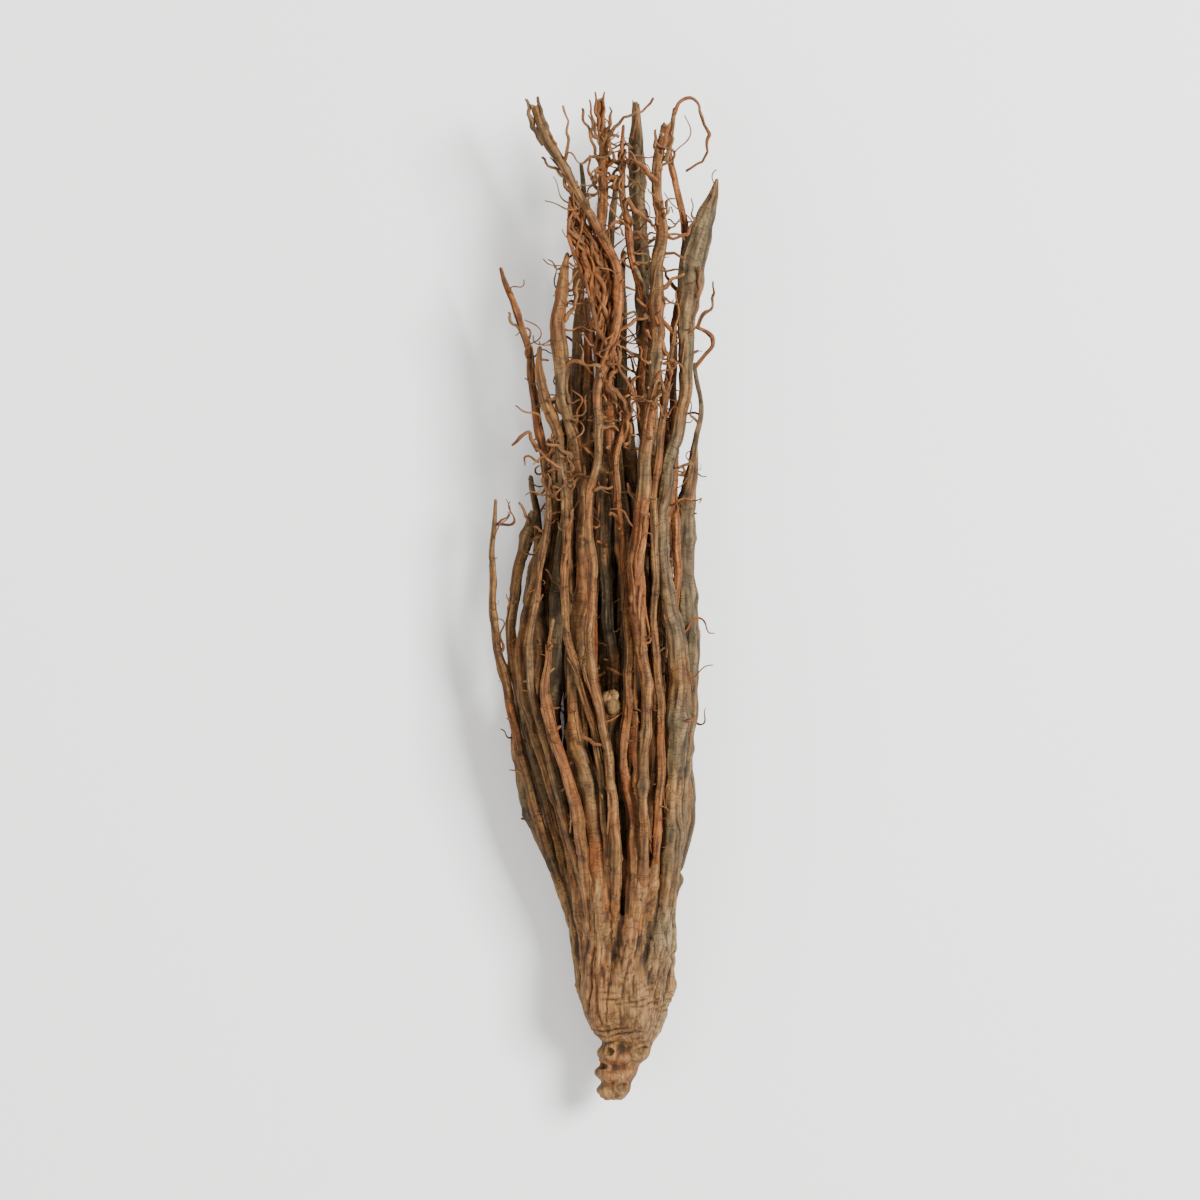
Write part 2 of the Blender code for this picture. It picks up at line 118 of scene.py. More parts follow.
# The ones that show: warmth of their bark, from 0 olive grey by 0.5 tan to 1 orange brown, and
# (x, y, z, radius) from the body to the tip
showingLegs = {
    "frayedLeft": (0.62, (
        (-1.6, 24, 11.8, 1.7), (-1.6, 41, 16.5, 0.95), (-2.4, 54, 18.0, 0.8), (-4.3, 66, 18.5, 0.75),
        (-5.6, 76, 18.5, 0.75), (-5.1, 87, 18.5, 0.75), (-5.7, 97, 18.5, 0.7), (-4.0, 106, 18.5, 0.7),
        (-4.3, 116, 18.5, 0.75), (-1.2, 125, 18.5, 0.85), (-1.4, 134, 18.0, 0.8), (-5.4, 142, 17.5, 0.7),
        (-9.2, 149, 17.0, 0.7), (-12.2, 154, 16.5, 1.0), (-14.0, 159, 16.0, 0.7),
    )),
    "brightRight": (0.6, (
        (1.6, 23, 12.0, 1.9), (2.8, 42, 17.5, 0.9), (3.0, 59, 18.5, 0.85), (3.4, 68, 18.5, 0.9),
        (2.3, 76, 18.5, 1.0), (1.9, 86, 18.5, 1.25), (2.5, 95, 18.5, 1.2), (3.3, 106, 18.5, 1.0),
        (4.4, 114, 18.5, 0.95), (4.9, 126, 18.5, 1.1), (4.9, 133, 18.5, 1.1), (5.7, 141, 18.0, 0.9),
        (4.8, 146, 17.5, 0.8), (5.2, 151, 17.5, 0.85), (6.3, 156, 17.5, 0.85),
    )),
    "spindleRight": (0.16, (
        (4.0, 16, 10.4, 2.4), (7.4, 42, 15.5, 1.4), (7.9, 56, 16.5, 1.6), (8.4, 68, 16.5, 1.75),
        (7.8, 77, 16.5, 1.5), (6.2, 85, 16.5, 1.2), (5.6, 93, 16.5, 1.15), (6.4, 102, 16.5, 1.15),
        (8.2, 109, 16.5, 1.05), (9.5, 119, 16.5, 1.15), (9.5, 126, 16.5, 1.5), (10.4, 133, 16.5, 2.05),
        (11.3, 138, 16.5, 1.95), (12.8, 143, 16.0, 1.2), (14.2, 147.5, 15.5, 0.3),
    )),
    "oliveRight": (0.06, (
        (5.4, 16, 7.2, 2.3), (7.6, 42, 11.0, 1.4), (9.4, 60, 12.5, 1.45), (10.2, 70, 12.5, 1.5),
        (9.7, 82, 12.5, 1.6), (9.3, 94, 12.5, 1.5), (10.3, 101, 12.8, 1.1), (10.9, 106, 13.0, 0.5),
        (11.9, 112, 13.5, 0.4), (10.9, 119, 13.5, 0.35),
    )),
    "knottyLeft": (0.5, (
        (-3.8, 17, 10.6, 2.4), (-4.3, 43, 15.0, 1.75), (-5.8, 53, 15.5, 1.5), (-8.0, 64, 15.5, 1.15),
        (-7.5, 76, 15.0, 1.05), (-6.6, 87, 14.5, 0.95), (-6.6, 99, 15.0, 0.9), (-8.0, 107, 16.0, 0.95),
        (-10.0, 115, 16.5, 1.05), (-9.9, 120, 16.5, 1.35), (-10.4, 126, 16.5, 1.15), (-9.5, 132, 16.5, 0.9),
        (-8.8, 136.5, 16.5, 0.25),
    )),
    "tanLeft": (0.56, (
        (-2.4, 27, 11.2, 1.5), (-2.6, 44, 17.0, 0.7), (-4.2, 58, 17.5, 0.65), (-6.3, 67, 17.5, 0.65),
        (-9.0, 76, 17.0, 0.6), (-9.3, 86, 16.5, 0.6), (-9.5, 98, 16.5, 0.7), (-10.6, 108, 16.0, 0.75),
        (-12.6, 114, 16.0, 0.9), (-13.4, 118, 16.0, 0.6), (-13.1, 122, 16.0, 0.3),
    )),
    "farLeft": (0.6, (
        (-5.0, 19, 8.6, 1.9), (-9.5, 45, 11.5, 0.9), (-13.6, 58, 12.5, 0.85), (-16.0, 68, 13.0, 0.8),
        (-16.2, 77, 13.0, 0.7), (-13.8, 86, 13.5, 0.65), (-11.8, 95, 14.0, 0.6), (-12.8, 104, 14.0, 0.65),
        (-14.3, 114, 14.0, 0.65), (-15.1, 121, 14.0, 0.6), (-17.6, 129, 14.0, 0.5), (-19.5, 134, 14.0, 0.25),
    )),
    "bowedLeft": (0.35, (
        (-5.4, 16, 6.4, 2.0), (-11.5, 45, 9.0, 1.0), (-15.6, 60, 9.5, 0.95), (-17.8, 72, 10.0, 0.9),
        (-17.2, 83, 10.5, 0.9), (-15.6, 90, 11.0, 0.95), (-14.3, 95, 11.0, 0.85),
    )),
    "shortLeft": (0.62, (
        (-4.4, 22, 10.2, 1.8), (-6.9, 43, 15.5, 0.95), (-8.1, 51, 16.5, 0.9), (-10.7, 59, 17.0, 0.85),
        (-12.4, 67, 17.0, 0.8), (-12.0, 73, 16.5, 0.4), (-11.4, 79, 16.0, 0.3),
    )),
    "innerLeft": (0.36, (
        (-4.0, 25, 9.2, 1.6), (-7.9, 41, 13.5, 0.8), (-11.2, 54, 14.5, 0.75), (-14.0, 65, 15.0, 0.7),
        (-15.0, 73, 15.0, 0.6), (-13.6, 84, 15.5, 0.5), (-12.2, 94, 15.5, 0.5), (-11.4, 101, 15.5, 0.3),
    )),
    "edgeLeft": (0.55, (
        (-5.2, 21, 6.0, 1.6), (-12.5, 42, 9.5, 0.9), (-15.6, 53, 10.0, 0.85), (-18.0, 64, 10.5, 0.8),
        (-20.3, 76, 10.5, 0.7), (-21.0, 88, 10.5, 0.5), (-20.2, 97, 10.5, 0.3),
    )),
    "russetCentre": (0.78, (
        (0.2, 18, 12.4, 2.0), (1.6, 43, 17.0, 1.2), (1.0, 50, 17.0, 1.0), (-0.4, 57, 17.0, 0.8),
        (0.4, 65, 17.0, 0.8), (0.6, 74, 16.5, 0.7), (-0.1, 86, 16.0, 0.55), (-1.0, 97, 16.0, 0.5),
        (-1.4, 104, 16.5, 0.5), (0.0, 111, 16.5, 0.4), (0.8, 117, 16.5, 0.25),
    )),
    "slimRight": (0.62, (
        (3.2, 24, 11.0, 1.6), (5.0, 42, 16.5, 0.75), (5.5, 53, 17.0, 0.7), (5.7, 65, 17.0, 0.65),
        (4.8, 75, 17.0, 0.65), (4.7, 87, 17.0, 0.6), (4.6, 98, 17.0, 0.6), (6.2, 111, 17.0, 0.55),
        (6.9, 119, 17.0, 0.45), (7.9, 126, 17.0, 0.25),
    )),
    "stubCentre": (0.45, (
        (-0.8, 28, 10.6, 1.5), (-2.0, 48, 13.0, 0.85), (-2.4, 60, 14.0, 0.9), (-2.2, 64, 14.5, 1.35),
        (-2.1, 66.5, 14.8, 1.1),
    )),
    "snappedCentre": (0.3, (
        (0.4, 32, 9.0, 1.5), (-1.0, 60, 12.0, 1.0), (-3.0, 84, 13.5, 0.9), (-3.4, 98, 14.5, 0.9),
        (-2.9, 102.5, 15.0, 1.15), (-1.5, 106, 15.5, 0.85), (0.2, 109.5, 15.5, 0.85),
    )),
    "frayedCentre": (0.8, (
        (1.0, 31, 9.6, 1.6), (1.4, 50, 13.0, 1.0), (0.6, 78, 14.0, 0.9), (-1.4, 98, 15.0, 0.85),
        (-2.6, 114, 16.0, 0.85), (-2.8, 130, 16.5, 0.85), (-3.4, 141, 16.5, 0.8), (-3.4, 148, 16.0, 0.8),
        (-3.7, 154, 16.0, 0.75), (-3.9, 161, 15.5, 0.6),
    )),
    "secondCentre": (0.76, (
        (2.4, 29, 9.6, 1.5), (4.2, 60, 13.0, 0.8), (6.4, 88, 14.0, 0.7), (6.8, 104, 15.0, 0.65),
        (5.2, 118, 15.5, 0.6), (2.6, 129, 16.5, 0.6), (0.9, 136, 16.5, 0.55), (-0.2, 145, 16.0, 0.55),
        (-0.4, 151, 16.0, 0.45), (-0.3, 156, 15.5, 0.25),
    )),
    "darkBack": (0.1, (
        (2.4, 22, 4.0, 2.0), (3.5, 55, 7.0, 1.35), (4.6, 85, 8.0, 1.25), (3.6, 115, 9.0, 1.2),
        (2.2, 140, 9.5, 1.2), (1.7, 153, 9.5, 1.1), (1.9, 159.5, 9.5, 0.5),
    )),
    "loopedRight": (0.85, (
        (4.2, 25, 8.6, 1.6), (7.0, 60, 12.5, 0.8), (8.0, 88, 13.5, 0.7), (7.4, 108, 14.0, 0.65),
        (7.6, 122, 14.0, 0.6), (8.9, 133, 14.0, 0.6), (9.2, 141, 14.5, 0.55), (7.6, 147, 15.5, 0.55),
        (7.1, 154, 15.5, 0.45), (7.7, 158.6, 15.5, 0.3),
    )),
    "wispLeft": (0.92, (
        (-2.6, 29, 9.4, 1.4), (-4.6, 70, 12.0, 0.6), (-4.4, 100, 13.5, 0.55), (-3.9, 124, 15.0, 0.55),
        (-5.2, 134, 15.5, 0.5), (-7.9, 139, 15.5, 0.45), (-8.3, 144, 15.5, 0.3),
    )),
    "dimLeft": (0.35, (
        (-3.4, 21, 4.2, 1.8), (-8.0, 60, 8.0, 0.9), (-8.5, 95, 9.0, 0.8), (-7.2, 125, 9.5, 0.7),
        (-6.7, 142, 9.5, 0.6), (-6.8, 150, 9.5, 0.3),
    )),
}

# The ones underneath, fanned out in rows on the table
hiddenLegs = {
    "rows": (  # height, how many, half width, middle
        (1.4, 8, 12.6, -3.8), (5.2, 7, 11.0, -3.2), (9.0, 5, 6.0, -1.0),
    ),
    "roots": (17.0, 27.0),  # where they begin, from the crown's end
    "tips": (104.0, 156.0),
    "edgeTip": 100.0,  # the furthest that a leg at the edge of the lowest row reaches
    "girth": (1.15, 1.7),  # radius at mid length
    # In the body: share of its place across, height, share of its row's height, share of its girth
    "inBody": (0.36, 2.6, 0.6, 1.7),
    # Leaving the body: share of its place across, share of the row's middle, height over its row, girth
    "atFork": (0.8, 0.5, 0.6, 1.2),
    "taper": ((0.2, 1.0), (0.4, 0.95), (0.6, 0.8), (0.8, 0.6), (1.0, 0.25)),  # shares of length and girth
    "sway": 1.8,
    "gather": 0.2,  # the share of its width that a row loses by the tips
    "rise": 2.6,
    "warmth": (0.12, 0.7),
}
settling = {
    "from": 20.0,
    "to": 163.0,
    "station": 1.5,  # mm between the places where the legs are parted
    "gap": 0.4,
    "rounds": 160,
    "freeAside": 0.9,  # how freely a leg underneath moves aside
    "heldAside": 0.12,  # the same for one that shows
    "push": 0.35,
    "evening": 0.2,
}
fork = (33.0, 45.0)  # where the legs part from each other
thinnest = 0.25  # radius of a leg at its very tip
seed = 11


def drawHiddenLegs():
    draw = random.Random(seed)
    found = {}
    for row, (height, count, halfWidth, middle) in enumerate(hiddenLegs["rows"]):
        for k in range(count):
            across = halfWidth * (2 * k / (count - 1) - 1)
            girth = draw.uniform(*hiddenLegs["girth"])
            root, tip = draw.uniform(*hiddenLegs["roots"]), draw.uniform(*hiddenLegs["tips"])
            edge = abs(across) / hiddenLegs["rows"][0][2]
            tip = min(tip, hiddenLegs["tips"][1] + (hiddenLegs["edgeTip"] - hiddenLegs["tips"][1]) * edge)
            near, base, raised, thick = hiddenLegs["inBody"]
            points = [(across * near, root, base + raised * height, girth * thick)]
            near, off, over, thick = hiddenLegs["atFork"]
            points.append((across * near + middle * off, fork[1], height + over, girth * thick))
            for share, thickness in hiddenLegs["taper"]:
                x = across * (1 - hiddenLegs["gather"] * share) + middle
                x += draw.uniform(-1, 1) * hiddenLegs["sway"]
                y = fork[1] + (tip - fork[1]) * share
                points.append((x, y, height + draw.uniform(0, 1) * hiddenLegs["rise"], girth * thickness))
            found[f"hidden{row}{k}"] = tuple(points)
    return found


# Moves the legs aside and up until none is in another or in the table
def settleLegs(routes):
    stations = np.arange(settling["from"], settling["to"], settling["station"])
    shape = (len(routes), len(stations))
    place, radius, active = np.zeros((2, *shape)), np.zeros(shape), np.zeros(shape, bool)
    for i, points in enumerate(routes.values()):
        table = np.array(points)
        at = np.clip(stations, table[0, 1], table[-1, 1])
        place[0, i], place[1, i], radius[i] = (smoothThrough(table[:, 1], table[:, k], at) for k in (0, 2, 3))
        active[i] = (stations >= table[0, 1]) & (stations <= table[-1, 1])
    aside = [[settling["freeAside" if name.startswith("hidden") else "heldAside"]] for name in routes]
    freedom = np.array([aside, [[1.0]] * len(routes)])
    parted = np.clip((stations - fork[0]) / (fork[1] - fork[0]), 0, 1)
    both = active[:, None] & active[None]
    both[np.arange(len(routes)), np.arange(len(routes))] = False
    apart = (radius[:, None] + radius[None] + settling["gap"]) * parted
    moved = np.zeros_like(place)
    for _ in range(settling["rounds"]):
        here = place + moved
        between = here[:, :, None] - here[:, None]
        distance = np.sqrt((between**2).sum(0)) + 1e-6
        overlap = np.where(both, np.clip(apart - distance, 0, None), 0)
        moved += settling["push"] * freedom * (between / distance * overlap).sum(2)
        bow = moved[:, :, :-2] + moved[:, :, 2:] - 2 * moved[:, :, 1:-1]
        moved[:, :, 1:-1] += settling["evening"] * bow
        moved[1] = np.maximum(place[1] + moved[1], radius) - place[1]
    return stations, {name: moved[:, i] for i, name in enumerate(routes)}


legRoutes = {name: route for name, (warmth, route) in showingLegs.items()}
legRoutes.update(drawHiddenLegs())
stations, settled = settleLegs(legRoutes)
warmthDraw = random.Random(seed + 2)
legWarmth = {name: showingLegs[name][0] if name in showingLegs else warmthDraw.uniform(*hiddenLegs["warmth"])
             for name in legRoutes}


# Middle line and radii of a leg at the wanted distances from the crown's end
def legLine(name, wanted):
    table, moved = np.array(legRoutes[name]), settled[name]
    x, z, radii = (smoothThrough(table[:, 1], table[:, k], wanted) for k in (0, 2, 3))
    x, z = x + np.interp(wanted, stations, moved[0]), z + np.interp(wanted, stations, moved[1])
    return np.stack([x, wanted, z], axis=1), np.maximum(radii, thinnest)


# The same with the small bends that a drying root takes
legBends = {
    "aside": 0.28,  # mm
    "up": 0.26,
    "lengths": (9.0, 17.0, 31.0),
    "from": 30.0,
    "over": 20.0,
    "lowest": 0.92,  # height of the middle over the table, as a share of the radius
}
bendDraw = random.Random(seed + 3)
bends = {name: [drawWander(bendDraw, legBends["lengths"], legBends[way]) for way in ("aside", "up")]
         for name in legRoutes}


def bentLegLine(name, wanted):
    line, radii = legLine(name, wanted)
    share = smoothStep(legBends["from"], legBends["from"] + legBends["over"], wanted)
    line[:, 0] += bends[name][0](wanted) * share
    line[:, 2] = np.maximum(line[:, 2] + bends[name][1](wanted) * share, radii * legBends["lowest"])
    return line, radii


print("courses:", len(showingLegs), "legs that show and", len(legRoutes) - len(showingLegs), "under them")


# Skins: rings of points round a line, with what the bark needs to know at each point

barkRelief = {
    "ridges": ((2, 0.22), (5, 0.3), (9, 0.24), (13, 0.14)),  # how many round the root, and their share
    "ridgeTurning": ((6.0, 15.0, 40.0), 1.6),  # the waves in which ridges drift round: lengths in mm, how far
    "ridgeFading": ((5.0, 11.0), 0.5),  # the same for how they rise and fade
    "depth": 0.3,  # of the radius
    "swell": 0.085,
    "swellLengths": (4.0, 9.0, 21.0),  # mm
    "knotEvery": 10.0,  # mm
    "knotSize": (0.05, 0.2),  # of the radius
    "knotLength": (0.4, 1.3),  # mm
    "creaseEvery": 5.5,  # mm
    "creaseDepth": 0.06,
    "creaseLength": 0.3,  # mm
    # Creases raise the furrow value, so they take the darker bark of the folds and its painted shade
    "creaseDark": 0.4,
}
# The rings that close a tip: share of the last radius, and how many radii further on
tipRings = {
    "rounded": ((0.75, 0.4), (0.35, 0.8), (0.06, 0.95)),
    "broken": ((0.9, 0.5), (0.6, 0.3), (0.1, 0.1)),
}
splinters = {"slant": 0.5, "split": 0.3, "ragged": 0.35}  # of the radius


def lineFrames(line):
    along = np.gradient(line, axis=0)
    along /= np.linalg.norm(along, axis=1)[:, None]
    side = np.cross(along[0], (0.0, 0.0, 1.0) if abs(along[0][2]) < 0.9 else (1.0, 0.0, 0.0))
    sides = []
    for direction in along:
        side = side - direction * side.dot(direction)
        side /= np.linalg.norm(side)
        sides.append(side)
    return along, np.array(sides), np.cross(along, np.array(sides))


def wrinkledSkin(line, radii, sideCount, draw, warmth, relief, broken=False):
    steps = np.linalg.norm(np.diff(line, axis=0), axis=1)
    way = np.concatenate([[0.0], np.cumsum(steps)])
    along, side, other = lineFrames(line)
    turn = 2 * math.pi * np.arange(sideCount) / sideCount
    ridges = np.zeros((len(line), sideCount))
    for count, share in relief["ridges"]:
        phase = draw.uniform(0, 2 * math.pi) + drawWander(draw, *relief["ridgeTurning"])(way)
        strength = 0.7 + drawWander(draw, *relief["ridgeFading"])(way)
        ridges += share * strength[:, None] * np.cos(count * turn[None] + phase[:, None])
    furrow = np.clip(0.5 - ridges, 0, 1)
    swell = drawWander(draw, relief["swellLengths"], relief["swell"])(way)
    swelling = 1 + swell[:, None] * np.ones((1, sideCount))
    for _ in range(round(way[-1] / relief["knotEvery"])):
        at, wide = draw.uniform(0, way[-1]), draw.uniform(*relief["knotLength"])
        leaning = 1 + 0.7 * np.cos(turn - draw.uniform(0, 2 * math.pi))
        swelling += draw.uniform(*relief["knotSize"]) * np.exp(-(((way - at) / wide) ** 2))[:, None] * leaning
    for _ in range(round(way[-1] / relief["creaseEvery"])):
        at, middle = draw.uniform(0, way[-1]), draw.uniform(0, 2 * math.pi)
        part = np.clip(0.35 + 0.65 * np.cos(turn - middle), 0, 1)
        crease = np.exp(-(((way - at) / relief["creaseLength"]) ** 2))[:, None] * part
        swelling -= relief["creaseDepth"] * crease
        furrow = np.clip(furrow + relief["creaseDark"] * crease, 0, 1)
    reach = radii[:, None] * (swelling + relief["depth"] * (0.5 - furrow))
    ring = np.cos(turn)[None, :, None] * side[:, None] + np.sin(turn)[None, :, None] * other[:, None]
    skin = {
        "points": line[:, None] + reach[..., None] * ring,
        "furrow": furrow,
        "warmth": np.broadcast_to(np.reshape(warmth, (-1, 1)), furrow.shape),
        "flesh": np.zeros(furrow.shape),
        "grain": np.concatenate([ring[..., :1] * radii[:, None, None], ring[..., 2:] * radii[:, None, None],
                                 np.broadcast_to(way[:, None, None], (*furrow.shape, 1))], axis=2)
        + np.array([draw.uniform(0, 90), draw.uniform(0, 90), draw.uniform(0, 900)]),
    }
    # The tip: rounded off to a point, or a splintered break that slants and shows the pale flesh
    slant, split = draw.uniform(0, 2 * math.pi), draw.uniform(0, 2 * math.pi)
    jag = splinters["slant"] * np.cos(turn - slant) + splinters["split"] * np.cos(3 * turn - split)
    jag += np.array([draw.uniform(-splinters["ragged"], splinters["ragged"]) for _ in turn])
    for shrink, push in tipRings["broken" if broken else "rounded"]:
        onward = push + jag * shrink * broken
        last = line[-1] + ring[-1] * (reach[-1] * shrink)[:, None]
        last = last + along[-1] * (onward * radii[-1])[:, None]
        skin["points"] = np.concatenate([skin["points"], last[None]])
        for key in ("furrow", "warmth", "grain"):
            skin[key] = np.concatenate([skin[key], skin[key][-1:]])
        skin["flesh"] = np.concatenate([skin["flesh"], np.full((1, sideCount), float(broken))])
    return skin


# One mesh from many skins. Each keeps its furrow, warmth, flesh and grain as attributes that the bark reads
def meshFromSkins(name, skins):
    points, faces, offset = [], [], 0
    values = {key: [] for key in ("furrow", "warmth", "flesh", "grain")}
    for skin in skins:
        count, sideCount = skin["points"].shape[:2]
        points.append(skin["points"].reshape(-1, 3))
        r, k = np.meshgrid(np.arange(count - 1), np.arange(sideCount), indexing="ij")
        a, b = r * sideCount + k + offset, r * sideCount + (k + 1) % sideCount + offset
        faces += np.stack([a, b, b + sideCount, a + sideCount], axis=-1).reshape(-1, 4).tolist()
        faces.append(list(range(offset + sideCount - 1, offset - 1, -1)))
        faces.append(list(range(offset + (count - 1) * sideCount, offset + count * sideCount)))
        offset += count * sideCount
        for key in values:
            values[key].append(skin[key].reshape(-1, 3 if key == "grain" else 1))
    mesh = bpy.data.meshes.new(name)
    mesh.from_pydata(inBox((np.concatenate(points) - rootMiddle) * mm).tolist(), [], faces)
    for key, parts in values.items():
        storeValues(mesh, key, np.concatenate(parts))
    mesh.shade_smooth()
    return mesh


def storeValues(mesh, key, values):
    kind, field = ("FLOAT_VECTOR", "vector") if key == "grain" else ("FLOAT", "value")
    mesh.attributes.new(key, kind, "POINT").data.foreach_set(field, np.ascontiguousarray(values, "f").ravel())


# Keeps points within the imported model's box, so that the dressed root is no larger
def inBox(points):
    gap = 0.02 * mm
    return np.clip(points, np.array(cadBox[0]) + gap * np.array((1, 1, 0)), np.array(cadBox[1]) - gap)


def addPiece(name, mesh, material):
    piece = bpy.data.objects.new(name, mesh)
    bpy.context.scene.collection.objects.link(piece)
    mesh.materials.clear()
    mesh.materials.append(material)
    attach(piece, "root")
    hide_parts("ginseng_root")
    print(name, len(mesh.polygons), "faces")


def addSkins(name, skins, material):
    addPiece(name, meshFromSkins(name, skins), material)


# Materials

# Dried root periderm: the thin cork skin of a root, shrunk in folds over the flesh as it was dried in air.
# It gives the eye a dull tan brown, darker in the folds and rubbed pale on the ridges, with fine lines along
# it. The folds also carry painted shade, and the pale ridges a painted highlight. Each hue is dark, middle
# and light
driedPeriderm = {
    "olive": ("#2a2216", "#4e3f28", "#756245"),
    "tan": ("#321e0e", "#60401e", "#8b6336"),
    "orange": ("#3a1e08", "#6b3a16", "#935826"),
    # Darkest bark in the folds, which also stands for painted shade there
    "furrow": "#150c06",
    # Pale dust on the ridges, which also serves as a painted highlight
    "ridgeDustAndHighlight": "#ab8a5e",
    "flesh": ("#543b20", "#8c6d3e"),
    "roughness": 0.8,
    "lineWidth": 0.35,  # mm between the fine lines along the root, drawn twice as wide as real to show
    "lineLength": 4.0,  # mm
    "blotch": 3.0,  # mm across
    "contrast": (0.32, 0.68),  # the noise that gives the darkest and the lightest bark
    "patches": 0.09,  # to a mm, where the hue is warmer or cooler
    "patchDrift": 0.3,
    "creaseGap": 1.4,  # mm between the cracks across the root
    "crackRound": 0.4,  # cracks to a mm round the root
    "crackWidth": 0.022,
    "crackDark": 0.45,
    "relief": 0.2,  # mm, height of what the bump stands for
    # Pale dust and painted highlight on the ridges: it grows between these furrow values, up to this share
    "ridgeAt": (0.45, 0.05),  # the furrow values between which dust grows
    "dustAndHighlightShare": 0.46,
    # Darker bark with painted shade in the folds: it darkens between these furrow values, by this much
    "foldAt": (0.5, 1.0),  # the furrow values between which it darkens
    "foldDarkAndShade": 0.84,
    "unevenGloss": (-0.12, 0.1),
}


def makePeriderm(name, look):
    material = bpy.data.materials.new(name)
    material.use_nodes = True
    tree = material.node_tree
    tree.nodes.clear()
    grain, furrow, warmth, flesh = (
        addNode(tree, "Attribute", {"attribute_name": key}).outputs["Vector" if key == "grain" else "Fac"]
        for key in ("grain", "furrow", "warmth", "flesh")
    )
    fineness = (1 / look["lineWidth"], 1 / look["lineWidth"], 1 / look["lineLength"])
    stretched = addNode(tree, "Mapping", {"Scale": fineness}, {"Vector": grain})
    lines = addNode(tree, "TexNoise", {"Scale": 1.0, "Detail": 4.0, "Roughness": 0.6}, {"Vector": stretched})
    blotches = addNode(tree, "TexNoise", {"Scale": 1 / look["blotch"], "Detail": 4.0, "Roughness": 0.62},
                       {"Vector": grain})
    patches = addNode(tree, "TexNoise", {"Scale": look["patches"], "Detail": 2.0}, {"Vector": grain})
    spacing = (look["crackRound"], look["crackRound"], 1 / look["creaseGap"])
    flattened = addNode(tree, "Mapping", {"Scale": spacing}, {"Vector": grain})
    cracks = addNode(tree, "TexNoise", {"Scale": 1.0, "Detail": 2.0}, {"Vector": flattened})
    # A crack runs where that noise passes its middle
    offMiddle = addNode(tree, "Math", {"operation": "SUBTRACT", 1: 0.5}, {0: cracks})
    nearMiddle = addNode(tree, "Math", {"operation": "ABSOLUTE"}, {0: offMiddle})
    crackMask = addNode(tree, "MapRange", {"From Min": 0.0, "From Max": look["crackWidth"], "To Min": 1.0,
                                           "To Max": 0.0}, {"Value": nearMiddle})
    # Light and dark along the fine lines and in the blotches
    mixed = addNode(tree, "Mix", {"data_type": "FLOAT", 0: 0.5}, {2: lines, 3: blotches})
    spread = addNode(tree, "MapRange", {"From Min": look["contrast"][0], "From Max": look["contrast"][1]},
                     {"Value": mixed})
    ramps = []
    for hue in ("olive", "tan", "orange"):
        stops = [(place, linearColour(tone)) for place, tone in zip((0.0, 0.5, 1.0), look[hue])]
        ramps.append(addNode(tree, "ValToRGB", {"stops": stops}, {"Fac": spread}))
    # Warmth picks the hue, and wanders a little in large patches
    drift = addNode(tree, "MapRange", {"From Min": 0.3, "From Max": 0.7, "To Min": -look["patchDrift"],
                                       "To Max": look["patchDrift"]}, {"Value": patches})
    warm = addNode(tree, "Math", {"operation": "ADD"}, {0: warmth, 1: drift})
    toTan = addNode(tree, "MapRange", {"From Min": 0.0, "From Max": 0.5}, {"Value": warm})
    toOrange = addNode(tree, "MapRange", {"From Min": 0.5, "From Max": 1.0}, {"Value": warm})
    colour = addNode(tree, "Mix", {"data_type": "RGBA"}, {0: toTan, 6: ramps[0], 7: ramps[1]}).outputs[2]
    colour = addNode(tree, "Mix", {"data_type": "RGBA"}, {0: toOrange, 6: colour, 7: ramps[2]}).outputs[2]
    # Rubbed, dusty ridges, made paler also as a painted highlight
    ridge = addNode(tree, "MapRange", {"From Min": look["ridgeAt"][0], "From Max": look["ridgeAt"][1],
                                       "To Max": look["dustAndHighlightShare"]}, {"Value": furrow})
    dustAndHighlightMask = addNode(tree, "Math", {"operation": "MULTIPLY"}, {0: ridge, 1: spread})
    colour = addNode(tree, "Mix", {"data_type": "RGBA", 7: linearColour(look["ridgeDustAndHighlight"])},
                     {0: dustAndHighlightMask, 6: colour}).outputs[2]
    # Dark folds, whose darker bark also carries painted shade, and dark cracks
    fold = addNode(tree, "MapRange", {"From Min": look["foldAt"][0], "From Max": look["foldAt"][1],
                                      "To Max": look["foldDarkAndShade"]}, {"Value": furrow})
    crackShare = addNode(tree, "Math", {"operation": "MULTIPLY", 1: look["crackDark"]}, {0: crackMask})
    dark = addNode(tree, "Math", {"operation": "MAXIMUM"}, {0: fold, 1: crackShare})
    colour = addNode(tree, "Mix", {"data_type": "RGBA", 7: linearColour(look["furrow"])},
                     {0: dark, 6: colour}).outputs[2]
    # Pale flesh where the root is broken
    stops = [(place, linearColour(tone)) for place, tone in zip((0.3, 0.7), look["flesh"])]
    paleness = addNode(tree, "ValToRGB", {"stops": stops}, {"Fac": lines})
    colour = addNode(tree, "Mix", {"data_type": "RGBA"}, {0: flesh, 6: colour, 7: paleness}).outputs[2]
    # Relief finer than the mesh
    height = addNode(tree, "Math", {"operation": "SUBTRACT"}, {0: mixed, 1: crackShare})
    bump = addNode(tree, "Bump", {"Strength": 0.9, "Distance": look["relief"] * mm}, {"Height": height})
    smoother, rougher = (look["roughness"] + change for change in look["unevenGloss"])
    rough = addNode(tree, "MapRange", {"To Min": smoother, "To Max": rougher}, {"Value": blotches})
    shader = addNode(tree, "BsdfPrincipled", {"Metallic": 0.0, "IOR": 1.45, "Specular IOR Level": 0.35},
                     {"Base Color": colour, "Roughness": rough, "Normal": bump})
    addNode(tree, "OutputMaterial", {}, {"Surface": shader})
    return material


legBark = makePeriderm("driedRootPeriderm", driedPeriderm)
